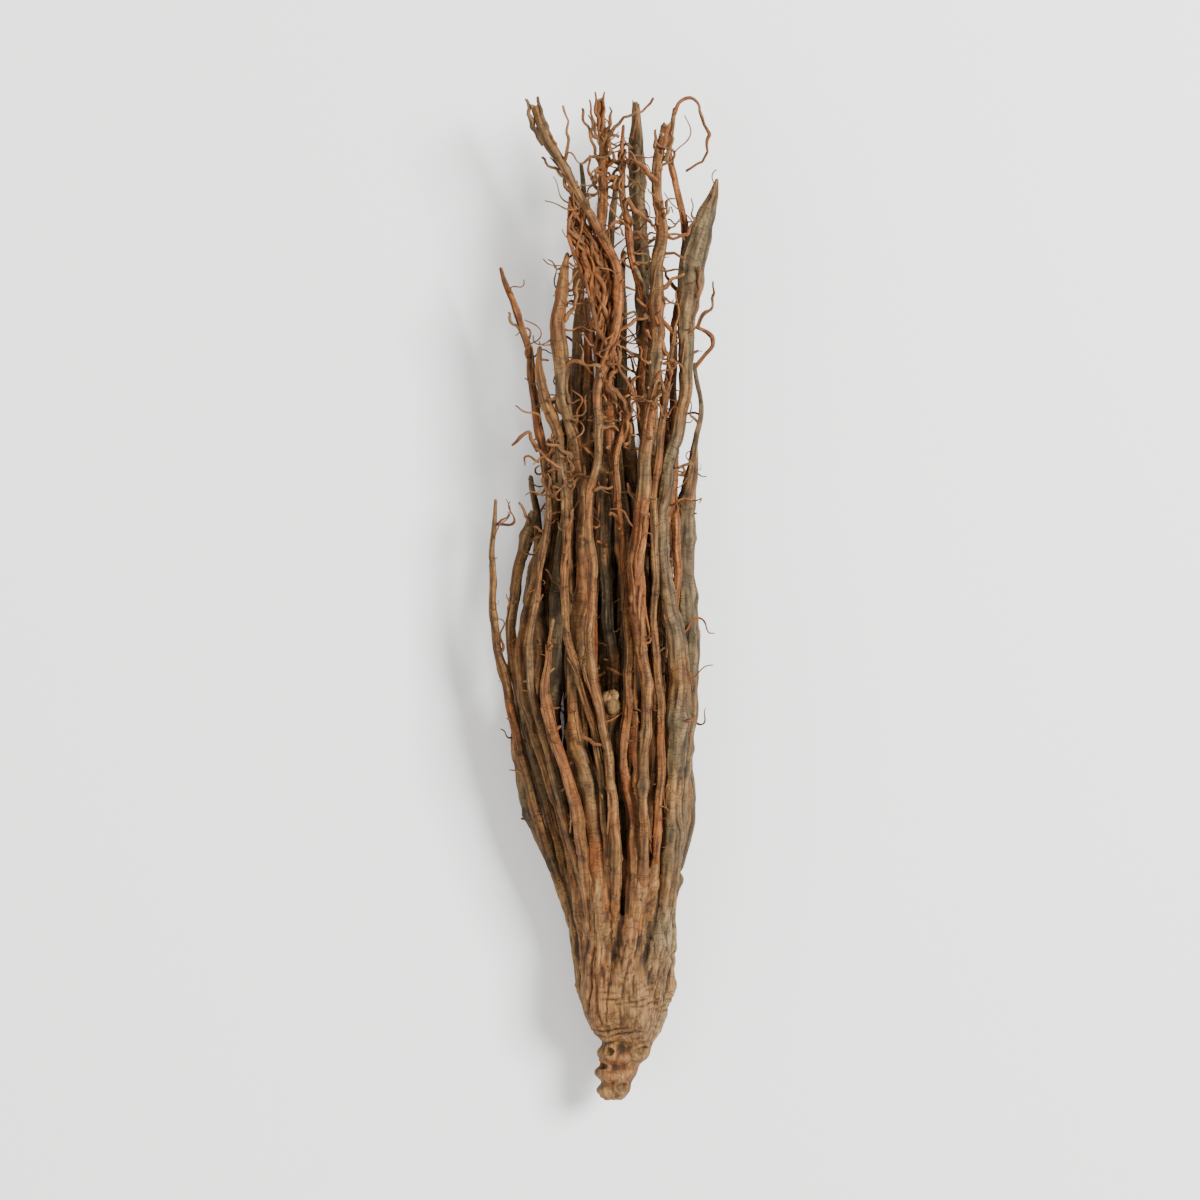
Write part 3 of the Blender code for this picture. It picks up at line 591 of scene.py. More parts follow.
# The crown's cork is older and thicker, so its cracks lie further apart and its blotches are larger
crownBark = makePeriderm("driedCrownCork", {**driedPeriderm, "blotch": 3.6, "creaseGap": 1.9, "dustAndHighlightShare": 0.42})
# A rootlet's cork is thin enough for the orange brown of the layer under it to come through
rootletBark = makePeriderm("driedRootletCork", {
    **driedPeriderm, "blotch": 1.6, "lineWidth": 0.25, "relief": 0.08, "roughness": 0.72, "foldDarkAndShade": 0.6,
    "dustAndHighlightShare": 0.3,
})
# Where a stub broke off lately, its dried starchy flesh is still clean and pale, and it is painted brighter
# still as a small highlight spot
paleFleshAndHighlight = makePeriderm("paleFleshPaintedHighlight", {**driedPeriderm, "flesh": ("#94764f", "#cdb48e")})
print("materials ready")


# The crown and the body, fused with the legs' roots, then creased

body = {
    "rings": (  # distance from the crown's end, half width, half height, height of the middle, how far aside
        (0.0, 1.9, 1.7, 7.6, -2.0), (1.0, 2.8, 2.5, 7.6, -1.9), (2.6, 2.4, 2.3, 7.7, -1.2),
        (4.0, 3.3, 3.0, 7.7, -1.4), (5.6, 2.8, 2.7, 7.6, -0.5), (7.2, 3.9, 3.6, 7.5, -0.4),
        (8.8, 3.7, 3.5, 7.3, 0.2), (10.6, 5.2, 5.1, 7.1, 0.2), (13.5, 6.7, 6.9, 7.0, 0.0),
        (17.0, 7.4, 7.5, 7.0, 0.0), (21.0, 7.3, 7.4, 7.0, 0.0), (25.0, 6.6, 6.8, 7.1, 0.0),
        (30.0, 5.5, 5.7, 7.5, 0.0), (36.0, 4.2, 4.4, 8.2, 0.0), (44.0, 2.8, 3.0, 8.9, 0.0),
        (54.0, 0.9, 1.0, 9.6, 0.0),
    ),
    "step": 0.5,
    "sides": 90,
    "lobes": 5,
    "lobeDepth": 0.04,
    "stubEnd": 48.0,  # how far up the legs are fused
    "stubsDiffer": 13.0,
    "stubGirth": (0.98, 0.4, 12.0),  # share of the leg's radius, how much of it is lost, over how many mm
    "voxel": 0.36,  # mm
    "smoothing": 4,
    "ringGap": 1.2,  # mm between the rings that ginseng's body bears
    "ringDepth": 0.24,
    "ringsFrom": (8.0, 11.0),  # between these distances from the crown's end the rings set in
    "ringsTo": (13.0, 22.0),
    "foldDepth": 0.42,  # mm, of the folds along the body
    "folds": ((3.0, 1.0), (6.5, 0.5)),  # how close they lie round the body, and their share of the depth
    "foldWidth": 6.0,
    "foldsFrom": (9.0, 14.0),
    "foldsTo": (28.0, 42.0),
    "lumpsTo": (30.0, 45.0),
    "legHueFrom": (18.0, 30.0),
    "scars": ((2.4, 1.2, 1.0), (5.6, 2.7, 1.2), (8.6, 0.9, 1.35), (8.2, 2.2, 0.9)),  # y, angle, radius
    "scarRim": (0.45, 0.28),  # mm high, mm wide
    "scarCup": (0.5, 0.4, 0.95),  # mm deep, from and to which share of the radius
    "scarFlesh": (0.5, 0.5, 0.8),  # how pale, from and to which share of the radius
    "end": (0.1, 0.7),  # mm over which the broken end gives way to bark
    "furrow": (0.44, 0.14, 7),  # on level skin, mm that a whole fold is deep, rounds of averaging
}
# Unevenness of the body: how much, how often to a mm across, along and up, and a shift
bodyNoise = {
    "ringWander": ((3.4, (0.12, 0.07, 0.12), 0.0), (0.9, (0.36, 0.2, 0.36), 7.0)),
    "lastRing": ((7.0, (0.13, 0.06, 0.13), 21.0),),
    "ringBreaks": ((2.0, (0.12, 0.5, 0.12), 3.0),),
    "lumps": ((0.7, (0.19, 0.1, 0.19), 11.0),),
    "grit": ((0.16, (1.1, 0.3, 1.1), 5.0),),
    "brokenEnd": ((0.5, (1.6, 1.6, 1.6), 2.0),),
    "hue": ((0.5, (0.08, 0.05, 0.08), 9.0),),
}


def bodySkin():
    table = np.array(body["rings"])
    y = np.arange(0.0, table[-1, 0], body["step"])
    halfWidth, halfHeight, middle, aside = (
        smoothThrough(table[:, 0], table[:, k], y)[:, None] for k in (1, 2, 3, 4)
    )
    turn = 2 * math.pi * np.arange(body["sides"])[None] / body["sides"]
    lobed = 1 + body["lobeDepth"] * np.sin(body["lobes"] * turn + y[:, None] * 0.06)
    points = np.stack([aside + halfWidth * lobed * np.cos(turn), np.broadcast_to(y[:, None], lobed.shape),
                       np.maximum(middle - halfHeight * lobed * np.sin(turn), 0.0)], axis=2)
    blank = np.zeros(lobed.shape)
    return {"points": points, "furrow": blank, "warmth": blank, "flesh": blank, "grain": points}


def legStub(name, draw):
    first = legRoutes[name][0][1]
    last = min(body["stubEnd"] - draw.uniform(0, body["stubsDiffer"]), legRoutes[name][-1][1] - 4)
    y = np.arange(first, last, 0.8)
    line, radii = bentLegLine(name, y)
    full, lost, over = body["stubGirth"]
    radii = radii * (full - lost * smoothStep(last - over, last, y))
    return wrinkledSkin(line, radii, 18, draw, 0.5, {**barkRelief, "knotEvery": 14.0})


def smoothedPoints(points, edges, rounds):
    counts = np.bincount(edges.ravel(), minlength=len(points))[:, None]
    for _ in range(rounds):
        sums = [np.bincount(edges[:, 0], points[edges[:, 1], k], len(points))
                + np.bincount(edges[:, 1], points[edges[:, 0], k], len(points)) for k in range(3)]
        points = 0.5 * points + 0.5 * np.stack(sums, axis=1) / counts
    return points


def readPoints(mesh):
    points, normals = np.empty(len(mesh.vertices) * 3), np.empty(len(mesh.vertices) * 3)
    mesh.vertices.foreach_get("co", points)
    mesh.vertices.foreach_get("normal", normals)
    return points.reshape(-1, 3) / mm + rootMiddle, normals.reshape(-1, 3)


def fusedMesh(name, skins):
    rough = bpy.data.objects.new(name + "Rough", meshFromSkins(name + "Rough", skins))
    bpy.context.scene.collection.objects.link(rough)
    remesh = rough.modifiers.new("fuse", "REMESH")
    remesh.mode = "VOXEL"
    remesh.voxel_size = body["voxel"] * mm
    smooth = rough.modifiers.new("soften", "SMOOTH")
    smooth.factor = 0.5
    smooth.iterations = body["smoothing"]
    bpy.context.view_layer.update()
    fused = bpy.data.meshes.new_from_object(rough.evaluated_get(bpy.context.evaluated_depsgraph_get()))
    fused.name = name
    bpy.data.objects.remove(rough)
    return fused


def noiseAt(points, scale, shift):
    scaled = points * np.array(scale) + shift
    return np.array([noise.noise(Vector(p)) for p in scaled])


def uneven(points, kind):
    return sum(size * noiseAt(points, scale, shift) for size, scale, shift in bodyNoise[kind])


def fadeIn(kind, y):
    return smoothStep(*body[kind], y)


# Warmth of the leg whose middle line is nearest
def nearestWarmth(points):
    heights = np.arange(14.0, body["stubEnd"] + 2.0, 1.0)
    lines = np.stack([bentLegLine(name, heights)[0] for name in legRoutes])
    row = np.clip(np.round(points[:, 1] - heights[0]).astype(int), 0, len(heights) - 1)
    distance = np.linalg.norm(lines[:, row] - points[None], axis=2)
    return np.array(list(legWarmth.values()))[distance.argmin(axis=0)]


def makeCrownAndBody():
    draw = random.Random(seed + 4)
    mesh = fusedMesh("crownAndBody", [bodySkin()] + [legStub(name, draw) for name in legRoutes])
    points, normals = readPoints(mesh)
    y = points[:, 1]
    # Broken rings round the body's upper part, folds along it that run on into the legs, and lumps
    table = np.array(body["rings"])
    warp = y + uneven(points, "ringWander")
    ringed = fadeIn("ringsFrom", y) * (1 - fadeIn("ringsTo", y + uneven(points, "lastRing")))
    rings = (0.5 + 0.5 * np.cos(2 * math.pi * warp / body["ringGap"])) ** 3
    broken = np.clip(0.4 + uneven(points, "ringBreaks"), 0.0, 1.0)
    height = -body["ringDepth"] * ringed * rings * broken
    turn = np.arctan2(points[:, 2] - np.interp(y, table[:, 0], table[:, 3]), points[:, 0])
    around = np.stack([np.cos(turn), 0.016 * y, np.sin(turn)], axis=1)
    bodily = fadeIn("foldsFrom", y) * (1 - fadeIn("foldsTo", y))
    for scale, share in body["folds"]:
        awayFromFold = np.abs(noiseAt(around, (scale, scale, scale), 15.0 * scale))
        nearFold = np.clip(1 - body["foldWidth"] * awayFromFold, 0, 1)
        height -= body["foldDepth"] * share * bodily * (1 - 0.6 * ringed) * nearFold**1.5
    height += uneven(points, "lumps") * (1 - fadeIn("lumpsTo", y)) + uneven(points, "grit")
    # Scars of earlier years' stems: a cup with a raised rim
    flesh = np.zeros(len(points))
    for at, angle, size in body["scars"]:
        halfWidth, halfHeight, middle, aside = (np.interp(at, table[:, 0], table[:, k]) for k in (1, 2, 3, 4))
        centre = (aside + halfWidth * math.cos(angle), at, middle + halfHeight * math.sin(angle))
        distance = np.linalg.norm(points - centre, axis=1)
        rim, width = body["scarRim"]
        height += rim * np.exp(-(((distance - size) / width) ** 2))
        cup, inner, outer = body["scarCup"]
        height -= cup * (1 - smoothStep(inner * size, outer * size, distance))
        pale, inner, outer = body["scarFlesh"]
        flesh = np.maximum(flesh, pale * (1 - smoothStep(inner * size, outer * size, distance)))
    end = 1 - fadeIn("end", y)
    height += end * uneven(points, "brokenEnd")
    flesh = np.maximum(flesh, 0.8 * end)
    points = points + normals * height[:, None]
    points[:, 2] = np.maximum(points[:, 2], 0.0)
    mesh.vertices.foreach_set("co", inBox((points - rootMiddle) * mm).ravel())
    mesh.update()
    # Folds are where the surface lies under its own average
    edges = np.empty(len(mesh.edges) * 2, np.int32)
    mesh.edges.foreach_get("vertices", edges)
    points, normals = readPoints(mesh)
    level, deepest, rounds = body["furrow"]
    sunk = ((smoothedPoints(points, edges.reshape(-1, 2), rounds) - points) * normals).sum(1)
    storeValues(mesh, "furrow", np.clip(level + sunk / deepest, 0, 1))
    own = np.clip(0.4 + uneven(points, "hue"), 0.1, 0.8)
    share = fadeIn("legHueFrom", points[:, 1])
    storeValues(mesh, "warmth", own * (1 - share) + nearestWarmth(points) * share)
    storeValues(mesh, "flesh", flesh)
    storeValues(mesh, "grain", points[:, [0, 2, 1]])
    mesh.shade_smooth()
    return mesh


addPiece("crown_and_body", makeCrownAndBody(), crownBark)


# The legs

legs = {
    "step": 0.6,
    "sides": 22,
    "hiddenStep": 0.9,
    "hiddenSides": 16,
    "start": 25.0,
    "sunk": 5.0,
    "end": 160.0,
    "rootGirth": (0.5, 0.47, 12.0),  # share of the radius in the body, what it gains, over how many mm
    "brokenFrom": 0.45,  # a leg that ends thicker than this broke off there
    "hueWander": ((18.0, 45.0), 0.24),  # lengths in mm of its waves, how far
    "warmTips": (0.4, 0.22, 90.0, 135.0),  # a leg warmer than this gains this much between these distances
    "hueFade": 4.0,  # mm
}
# Painted shade: these legs lie in shadow among the others, so the dark of their folds spreads further over
# them, by this much
shadedLegDarkening = {"snappedCentre": 0.16, "stubCentre": 0.1, "frayedCentre": 0.1}
# Where a leg's hue changes along it: leg, from, to, how much warmer
hueStretches = (("brightRight", 82.0, 99.0, 0.5), ("brightRight", 116.0, 147.0, -0.26),
                ("frayedLeft", 147.0, 175.0, -0.46))


def legSkin(name, draw):
    hidden = name.startswith("hidden")
    first = max(legs["start"], legRoutes[name][0][1] + legs["sunk"])
    last = min(legRoutes[name][-1][1], legs["end"])
    y = np.arange(first, last, legs["hiddenStep" if hidden else "step"])
    line, radii = bentLegLine(name, y)
    slim, gain, over = legs["rootGirth"]
    radii = radii * (slim + gain * smoothStep(first, first + over, y))
    warmth = legWarmth[name] + drawWander(draw, *legs["hueWander"])(y)
    warm, warmer, low, high = legs["warmTips"]
    if legWarmth[name] > warm:
        warmth = warmth + warmer * smoothStep(low, high, y)
    fade = legs["hueFade"]
    for leg, low, high, warmer in hueStretches:
        if leg == name:
            within = smoothStep(low - fade, low + fade, y) * (1 - smoothStep(high - fade, high + fade, y))
            warmth = warmth + warmer * within
    broken = legRoutes[name][-1][3] >= legs["brokenFrom"]
    sideCount = legs["hiddenSides" if hidden else "sides"]
    skin = wrinkledSkin(line, radii, sideCount, draw, warmth, barkRelief, broken)
    # Painted shade: the folds of the shadowed legs are darkened further
    skin["furrow"] = np.clip(skin["furrow"] + shadedLegDarkening.get(name, 0.0), 0, 1)
    return skin


legDraw = random.Random(seed + 5)
legSkins = {name: legSkin(name, legDraw) for name in legRoutes}
# The end of a leg's name says where it lies, and darkBack goes with the middle ones
for pieceName, ends in (("left_legs", "Left"), ("centre_legs", ("Centre", "Back")), ("right_legs", "Right")):
    chosen = [legSkins[name] for name in showingLegs if name.endswith(ends)]
    addSkins(pieceName, chosen, legBark)
addSkins("lower_legs", [legSkins[name] for name in legRoutes if name.startswith("hidden")], legBark)


# Rootlets: the ones that stand out in the upper tangle, then those that grow by rule

# Points, radius at root and at tip
standingRootlets = {
    "curlRight": (((10.9, 118, 13.4), (13.7, 122.6, 14.0), (11.4, 124.6, 14.4), (13.3, 127.5, 14.4),
                   (14.0, 131.5, 14.2)), 0.36, 0.24),
    "loopRight": (((7.6, 157.5, 15.5), (8.4, 159.4, 15.4), (9.8, 160.1, 15.2), (11.2, 159.0, 14.9),
                   (12.2, 156.4, 14.6), (12.9, 153.2, 14.6), (12.5, 151.2, 14.6), (11.2, 149.8, 14.6),
                   (9.6, 148.6, 14.8)), 0.32, 0.22),
    "arcRight": (((5.6, 139.6, 18.0), (7.2, 138.6, 18.6), (9.0, 138.9, 18.6),
                  (10.6, 141.4, 18.2)), 0.32, 0.24),
    "spurRight": (((4.9, 130.2, 18.4), (6.9, 131.8, 19.0), (8.8, 133.0, 19.2)), 0.5, 0.26),
    "bristleRight": (((5.0, 136.3, 18.4), (7.0, 136.2, 19.2), (9.2, 135.7, 19.6)), 0.32, 0.24),
    "branchLeft": (((-7.0, 143.4, 17.4), (-9.0, 146.6, 17.2), (-10.4, 148.8, 16.8),
                    (-12.9, 150.8, 16.4)), 0.36, 0.25),
    "feelerLeft": (((-9.6, 149.8, 17.0), (-8.8, 153.0, 17.4), (-9.0, 156.0, 17.2),
                    (-9.4, 158.6, 16.6)), 0.32, 0.24),
    "feelerCentre": (((-3.5, 153.6, 16.0), (-0.6, 156.6, 16.6), (2.4, 158.2, 16.8),
                      (4.6, 160.0, 16.6)), 0.34, 0.25),
    "twigCentre": (((-3.6, 149.0, 16.0), (-5.2, 153.6, 16.4), (-6.8, 158.6, 16.2)), 0.34, 0.25),
    "hookCentre": (((-3.3, 147.4, 16.2), (-1.6, 148.0, 17.2), (-0.2, 146.6, 17.6),
                    (-1.0, 144.6, 17.2)), 0.42, 0.26),
    "forkLeft": (((-10.3, 124.0, 16.6), (-8.2, 127.6, 17.2), (-7.2, 131.8, 17.0)), 0.46, 0.26),
    "strayLeft": (((-13.6, 105.0, 14.2), (-15.4, 108.0, 15.0), (-17.6, 105.8, 15.4)), 0.4, 0.28),
    "curlCentre": (((-1.2, 122.6, 18.0), (-0.9, 119.0, 18.8), (-2.5, 116.7, 19.0), (-0.7, 114.0, 19.0),
                    (0.3, 111.6, 18.6), (1.0, 108.2, 18.2)), 0.46, 0.28),
    "sideLeft": (((-9.8, 117.8, 16.8), (-8.4, 119.2, 17.6), (-6.3, 118.9, 17.8),
                  (-4.8, 117.4, 17.6)), 0.3, 0.24),
    "feelerEdge": (((-9.6, 86.0, 16.6), (-9.0, 91.0, 18.2), (-8.2, 96.4, 18.8)), 0.38, 0.26),
    "prongCentre": (((-1.2, 105.0, 16.6), (0.4, 109.4, 18.2), (1.2, 113.4, 18.8)), 0.38, 0.26),
}
# Slimmer ones between the legs, in the same way
innerTwigs = {
    "twigInner": (((0.2, 144.6, 17.0), (1.8, 142.8, 17.9), (3.4, 141.4, 18.3),
                   (4.7, 139.8, 18.4)), 0.42, 0.22, 0.95),
    "twigLower": (((1.6, 133.8, 17.2), (3.0, 131.0, 17.8), (3.6, 127.6, 17.8),
                   (3.0, 124.6, 17.4)), 0.36, 0.2, 0.4),
    "forkInner": (((-2.0, 121.6, 18.6), (-0.4, 117.6, 19.0), (1.6, 113.8, 18.8),
                   (2.2, 110.0, 18.2)), 0.34, 0.18, 0.9),
    "sideRight": (((4.6, 124.4, 18.8), (6.0, 122.0, 19.0), (6.8, 119.0, 18.6),
                   (7.2, 116.4, 18.0)), 0.4, 0.2, 0.7),
}
# The forked, frayed tops of the legs, in the same way, some with their own warmth
frayedTops = {
    "leftProng": (((-12.4, 153.0, 16.4), (-14.0, 155.4, 16.4), (-14.9, 157.4, 16.2),
                   (-15.0, 159.6, 16.0)), 0.62, 0.3, 0.25),
    "rightProng": (((-12.2, 153.0, 16.6), (-12.2, 155.6, 16.9), (-12.8, 157.6, 16.8),
                    (-13.6, 160.0, 16.4)), 0.58, 0.28, 0.3),
    "centreSplit": (((-3.7, 154.0, 16.2), (-4.4, 157.4, 16.4), (-4.5, 160.9, 16.0)), 0.46, 0.2),
    "centreSplinter": (((-3.7, 152.0, 16.2), (-2.6, 155.6, 16.8), (-2.2, 159.0, 16.8)), 0.42, 0.2),
    "centreFray": (((-3.9, 153.0, 16.2), (-5.0, 156.4, 16.4), (-5.4, 159.6, 16.1)), 0.36, 0.16),
    "centrePoint": (((-3.7, 155.0, 16.4), (-3.2, 158.2, 16.7), (-3.4, 160.8, 16.4)), 0.4, 0.14),
    "brightSplinter": (((6.2, 150.4, 17.8), (7.2, 154.2, 18.2), (7.4, 157.6, 18.0)), 0.4, 0.2),
    "brightShort": (((5.4, 149.0, 17.8), (4.6, 152.6, 18.2), (4.9, 155.4, 18.2)), 0.46, 0.24),
}
rootlets = {
    "stretches": ((40, 90, 10), (90, 118, 20), (118, 148, 26)),  # from y to y, how many
    "length": (4.0, 9.0),
    "girth": (0.3, 0.42),  # radius at the root
    "tip": 0.24,
    "points": 5,
    "turn": (-0.3, math.pi + 0.3),
    "lean": (0.2, 1.1),
    "curl": (-1.6, 1.6),
    "flatness": 0.6,
    "reach": (-20.5, 15.5),  # across
    "ringStep": 7.2,
    "step": 0.45,
    "sides": 9,
    "wander": ((2.6, 5.2), 0.3),  # lengths in mm of its waves, how far
    "warmth": (0.5, 0.92),
    "brokenShare": 0.25,
}
rootletRelief = {**barkRelief, "ridges": ((2, 0.3), (5, 0.3)), "depth": 0.24, "swell": 0.24, "knotEvery": 4.0,
                 "creaseEvery": 3.0}


def rootletsByRule():
    draw = random.Random(seed + 1)
    lines = {}
    for name in showingLegs:
        first, last = legRoutes[name][0][1], legRoutes[name][-1][1]
        rings = math.ceil((last - first) / rootlets["ringStep"]) + 1
        lines[name] = legLine(name, np.linspace(first, last, rings))[0]
    found = []
    for low, high, count in rootlets["stretches"]:
        wanted = len(found) + count
        while len(found) < wanted:
            line = lines[draw.choice([name for name in lines if lines[name][-1, 1] > low + 4])]
            y = draw.uniform(low, min(high, line[-1, 1] - 2))
            root = np.array([np.interp(y, line[:, 1], line[:, a]) for a in range(3)])
            turn, lean = draw.uniform(*rootlets["turn"]), draw.uniform(*rootlets["lean"])
            length, curl = draw.uniform(*rootlets["length"]), draw.uniform(*rootlets["curl"])
            girth = draw.uniform(*rootlets["girth"])
            points = [root]
            for k in range(1, rootlets["points"]):
                share = k / (rootlets["points"] - 1)
                bend, rise = turn + curl * share, lean + 0.5 * curl * share
                level, up = math.cos(bend) * math.cos(rise), math.sin(bend) * math.cos(rise)
                step = np.array((level, math.sin(rise), rootlets["flatness"] * up))
                points.append(points[-1] + step * length / (rootlets["points"] - 1))
            if rootlets["reach"][0] < points[-1][0] < rootlets["reach"][1]:
                found.append((np.array(points), girth, rootlets["tip"]))
    return found


def rootletSkin(draw, points, root, tip, warmth=None):
    points = np.array(points, float)
    lengths = np.concatenate([[0.0], np.cumsum(np.linalg.norm(np.diff(points, axis=0), axis=1))])
    way = np.linspace(0, lengths[-1], max(5, round(lengths[-1] / rootlets["step"])))
    line = np.stack([smoothThrough(lengths, points[:, k], way) for k in range(3)], axis=1)
    share = way / way[-1]
    for k in range(3):
        line[:, k] += drawWander(draw, *rootlets["wander"])(way) * smoothStep(0, 0.4, share)
    radii = root + (tip * 0.8 - root) * share
    drawnWarmth = draw.uniform(*rootlets["warmth"])
    return wrinkledSkin(line, radii, rootlets["sides"], draw, drawnWarmth if warmth is None else warmth,
                        rootletRelief, broken=draw.random() < rootlets["brokenShare"])


rootletDraw = random.Random(seed + 6)
placed = [*standingRootlets.values(), *frayedTops.values(), *rootletsByRule(), *innerTwigs.values()]
addSkins("rootlets", [rootletSkin(rootletDraw, *one) for one in placed], rootletBark)


# Finer rootlets: curled ones all over, and the orange braid that lies on the upper left

fineRootlets = {
    "stretches": ((46, 90, 44), (90, 118, 70), (118, 152, 90)),  # from y to y, how many
    "hiddenShare": 0.3,  # how many grow from the legs underneath
    "spread": 1.5,  # radians to either side of the root's own direction
    "pitch": (-0.5, 1.0),
    "length": (3.0, 12.0),
    "curl": (1.35, 0.4, 1.15),  # how far it curls, and the least and most share of that
    "girth": (0.13, 0.26),
    "tip": 0.09,
    "warmth": (0.45, 0.92),
    "sides": 7,
    "margin": 0.4,  # mm within the box
}
knotted = {
    **fineRootlets,
    "pitch": (0.0, 0.7),
    "length": (3.0, 9.0),
    "curl": (1.0, 0.8, 2.1),
    "girth": (0.16, 0.3),
    "tip": 0.1,
    "warmth": (0.45, 0.95),
}
# Places where many fine rootlets curl together: x, y, z, half width, half length, how many
looseKnots = (
    (-1.2, 149.5, 17.6, 2.6, 5.0, 18), (-1.5, 118.0, 18.4, 5.0, 7.0, 34), (3.4, 116.5, 18.6, 2.4, 5.0, 14),
    (-6.0, 108.0, 17.6, 4.0, 6.0, 16), (2.4, 139.0, 17.6, 2.6, 5.0, 12), (-12.0, 103.0, 15.6, 2.6, 7.0, 12),
)
tightKnots = (
    (-1.6, 149.0, 17.8, 0.8, 1.0, 16), (3.6, 141.0, 17.6, 1.0, 1.6, 12), (2.0, 124.0, 17.8, 2.4, 4.0, 14),
)
braid = {
    "count": 40,
    "from": (114.0, 125.0),
    "to": (136.0, 148.0),
    "edges": ((112, -4.8, -3.2), (125, -5.0, -1.8), (130, -5.5, -1.6), (134, -6.7, -1.9), (138, -8.3, -3.4),
              (143, -8.6, -5.8), (148, -8.4, -7.4)),  # y, the left edge, the right edge
    "height": 16.9,
    "weave": ((9.0, 16.0, 31.0), 0.45),  # lengths in mm of its waves, how far as a share of the width
    "rise": ((7.0, 13.0), 1.2),  # the same for its height, in mm
    "girth": (0.2, 0.4),
    "thinning": (0.6, 9.0),  # share of the girth that a strand loses, over how many mm
    "parting": 9.0,  # mm over which it leaves the leg
    "grownFrom": "wispLeft",
    "grownTo": 140.0,
    "sides": 8,
    "warmth": (0.8, 1.0),
}
curlStep = 0.45  # mm from ring to ring of a fine rootlet


def curledLine(start, bearing, pitch, length, curl, draw):
    way = np.linspace(0, length, max(6, round(length / curlStep)))
    bearings = bearing + curl * drawWander(draw, (length * 0.8, length * 2.2), 1.3)(way)
    pitches = pitch + curl * drawWander(draw, (length * 0.9, length * 2.0), 0.8)(way)
    level = np.cos(pitches)
    steps = np.stack([level * np.cos(bearings), level * np.sin(bearings), np.sin(pitches)], axis=1)
    return start + np.cumsum(steps, axis=0) * (way[1] - way[0])


def insideBox(line, margin):
    inside = (line - rootMiddle) * mm
    low, high = np.array(cadBox[0]) + margin * mm, np.array(cadBox[1]) - margin * mm
    return (inside > low).all() and (inside < high).all()


# Middle and radius of the leg that lies nearest to a spot
def nearestLeg(spot):
    reaching = [name for name, route in legRoutes.items() if route[0][1] + 8 < spot[1] < route[-1][1] - 1]
    lines = [bentLegLine(name, spot[1:2]) for name in reaching]
    middle, radii = min(lines, key=lambda one: np.linalg.norm(one[0][0] - spot))
    return middle[0], radii[0]


# A curled rootlet in a list, which is empty where it would leave the box
def curledSkins(start, bearing, look, draw):
    pitch, length = draw.uniform(*look["pitch"]), draw.uniform(*look["length"])
    whole, least, most = look["curl"]
    line = curledLine(start, bearing, pitch, length, whole * draw.uniform(least, most), draw)
    if not insideBox(line, look["margin"]):
        return []
    radii = np.linspace(draw.uniform(*look["girth"]), look["tip"], len(line))
    return [wrinkledSkin(line, radii, look["sides"], draw, draw.uniform(*look["warmth"]), rootletRelief)]


def straySkins(draw):
    showing = list(showingLegs)
    hidden = [name for name in legRoutes if name not in showingLegs]
    skins = []
    for low, high, count in fineRootlets["stretches"]:
        wanted = len(skins) + count
        while len(skins) < wanted:
            name = draw.choice(hidden if draw.random() < fineRootlets["hiddenShare"] else showing)
            last = legRoutes[name][-1][1]
            if last < low + 6:
                continue
            start = bentLegLine(name, np.array([draw.uniform(low, min(high, last - 2))]))[0][0]
            bearing = math.pi / 2 + draw.uniform(-fineRootlets["spread"], fineRootlets["spread"])
            skins += curledSkins(start, bearing, fineRootlets, draw)
    return skins


def knotSkins(knots, draw):
    skins = []
    for x, y, z, halfWidth, halfLength, count in knots:
        for _ in range(count):
            spot = np.array((x + draw.uniform(-1, 1) * halfWidth, y + draw.uniform(-1, 1) * halfLength, z))
            start, radius = nearestLeg(spot)
            bearing = draw.uniform(-math.pi, math.pi)
            start = start + np.array((math.cos(bearing), 0.0, 0.8)) * radius * 0.6
            skins += curledSkins(start, bearing, knotted, draw)
    return skins


def braidSkins(draw):
    edges = np.array(braid["edges"])
    skins = []
    for k in range(braid["count"]):
        y = np.arange(draw.uniform(*braid["from"]), draw.uniform(*braid["to"]), curlStep)
        left, right = (smoothThrough(edges[:, 0], edges[:, side], y) for side in (1, 2))
        parted = smoothStep(y[0], y[0] + braid["parting"], y)
        source = bentLegLine(braid["grownFrom"], np.minimum(y, braid["grownTo"]))[0]
        share = (k + 0.5) / braid["count"] + drawWander(draw, *braid["weave"])(y)
        x = left + (right - left) * np.clip(share, -0.05, 1.05)
        z = braid["height"] + drawWander(draw, *braid["rise"])(y)
        x, z = source[:, 0] * (1 - parted) + x * parted, source[:, 2] * (1 - parted) + z * parted
        lost, over = braid["thinning"]
        radii = draw.uniform(*braid["girth"]) * (1 - lost * smoothStep(y[-1] - over, y[-1], y))
        line = np.stack([x, y, z], axis=1)
        warmth = draw.uniform(*braid["warmth"])
        skins.append(wrinkledSkin(line, radii, braid["sides"], draw, warmth, rootletRelief))
    return skins


fineDraw = random.Random(seed + 7)
fineSkins = straySkins(fineDraw) + knotSkins(looseKnots, fineDraw) + braidSkins(fineDraw)
fineSkins += knotSkins(tightKnots, fineDraw)
addSkins("fine_rootlets", fineSkins, rootletBark)


# Stumps where rootlets broke off, hairs, the knobs of broken stubs, and strips of bark

stumps = {
    "count": 130,
    "from": 42.0,
    "length": (0.4, 1.2),
    "girth": (0.15, 0.32),
    "taper": (1.25, 0.75),
    "warmth": (0.4, 0.9),
    "paleShare": 0.2,
}
hairs = {
    "count": 320,
    "from": 34.0,
    "length": (0.8, 2.6),
    "girth": (0.05, 0.09),
    "tip": 0.03,
    "curl": 1.2,
    "spread": 0.6,
    "margin": 0.2,  # mm within the box
}
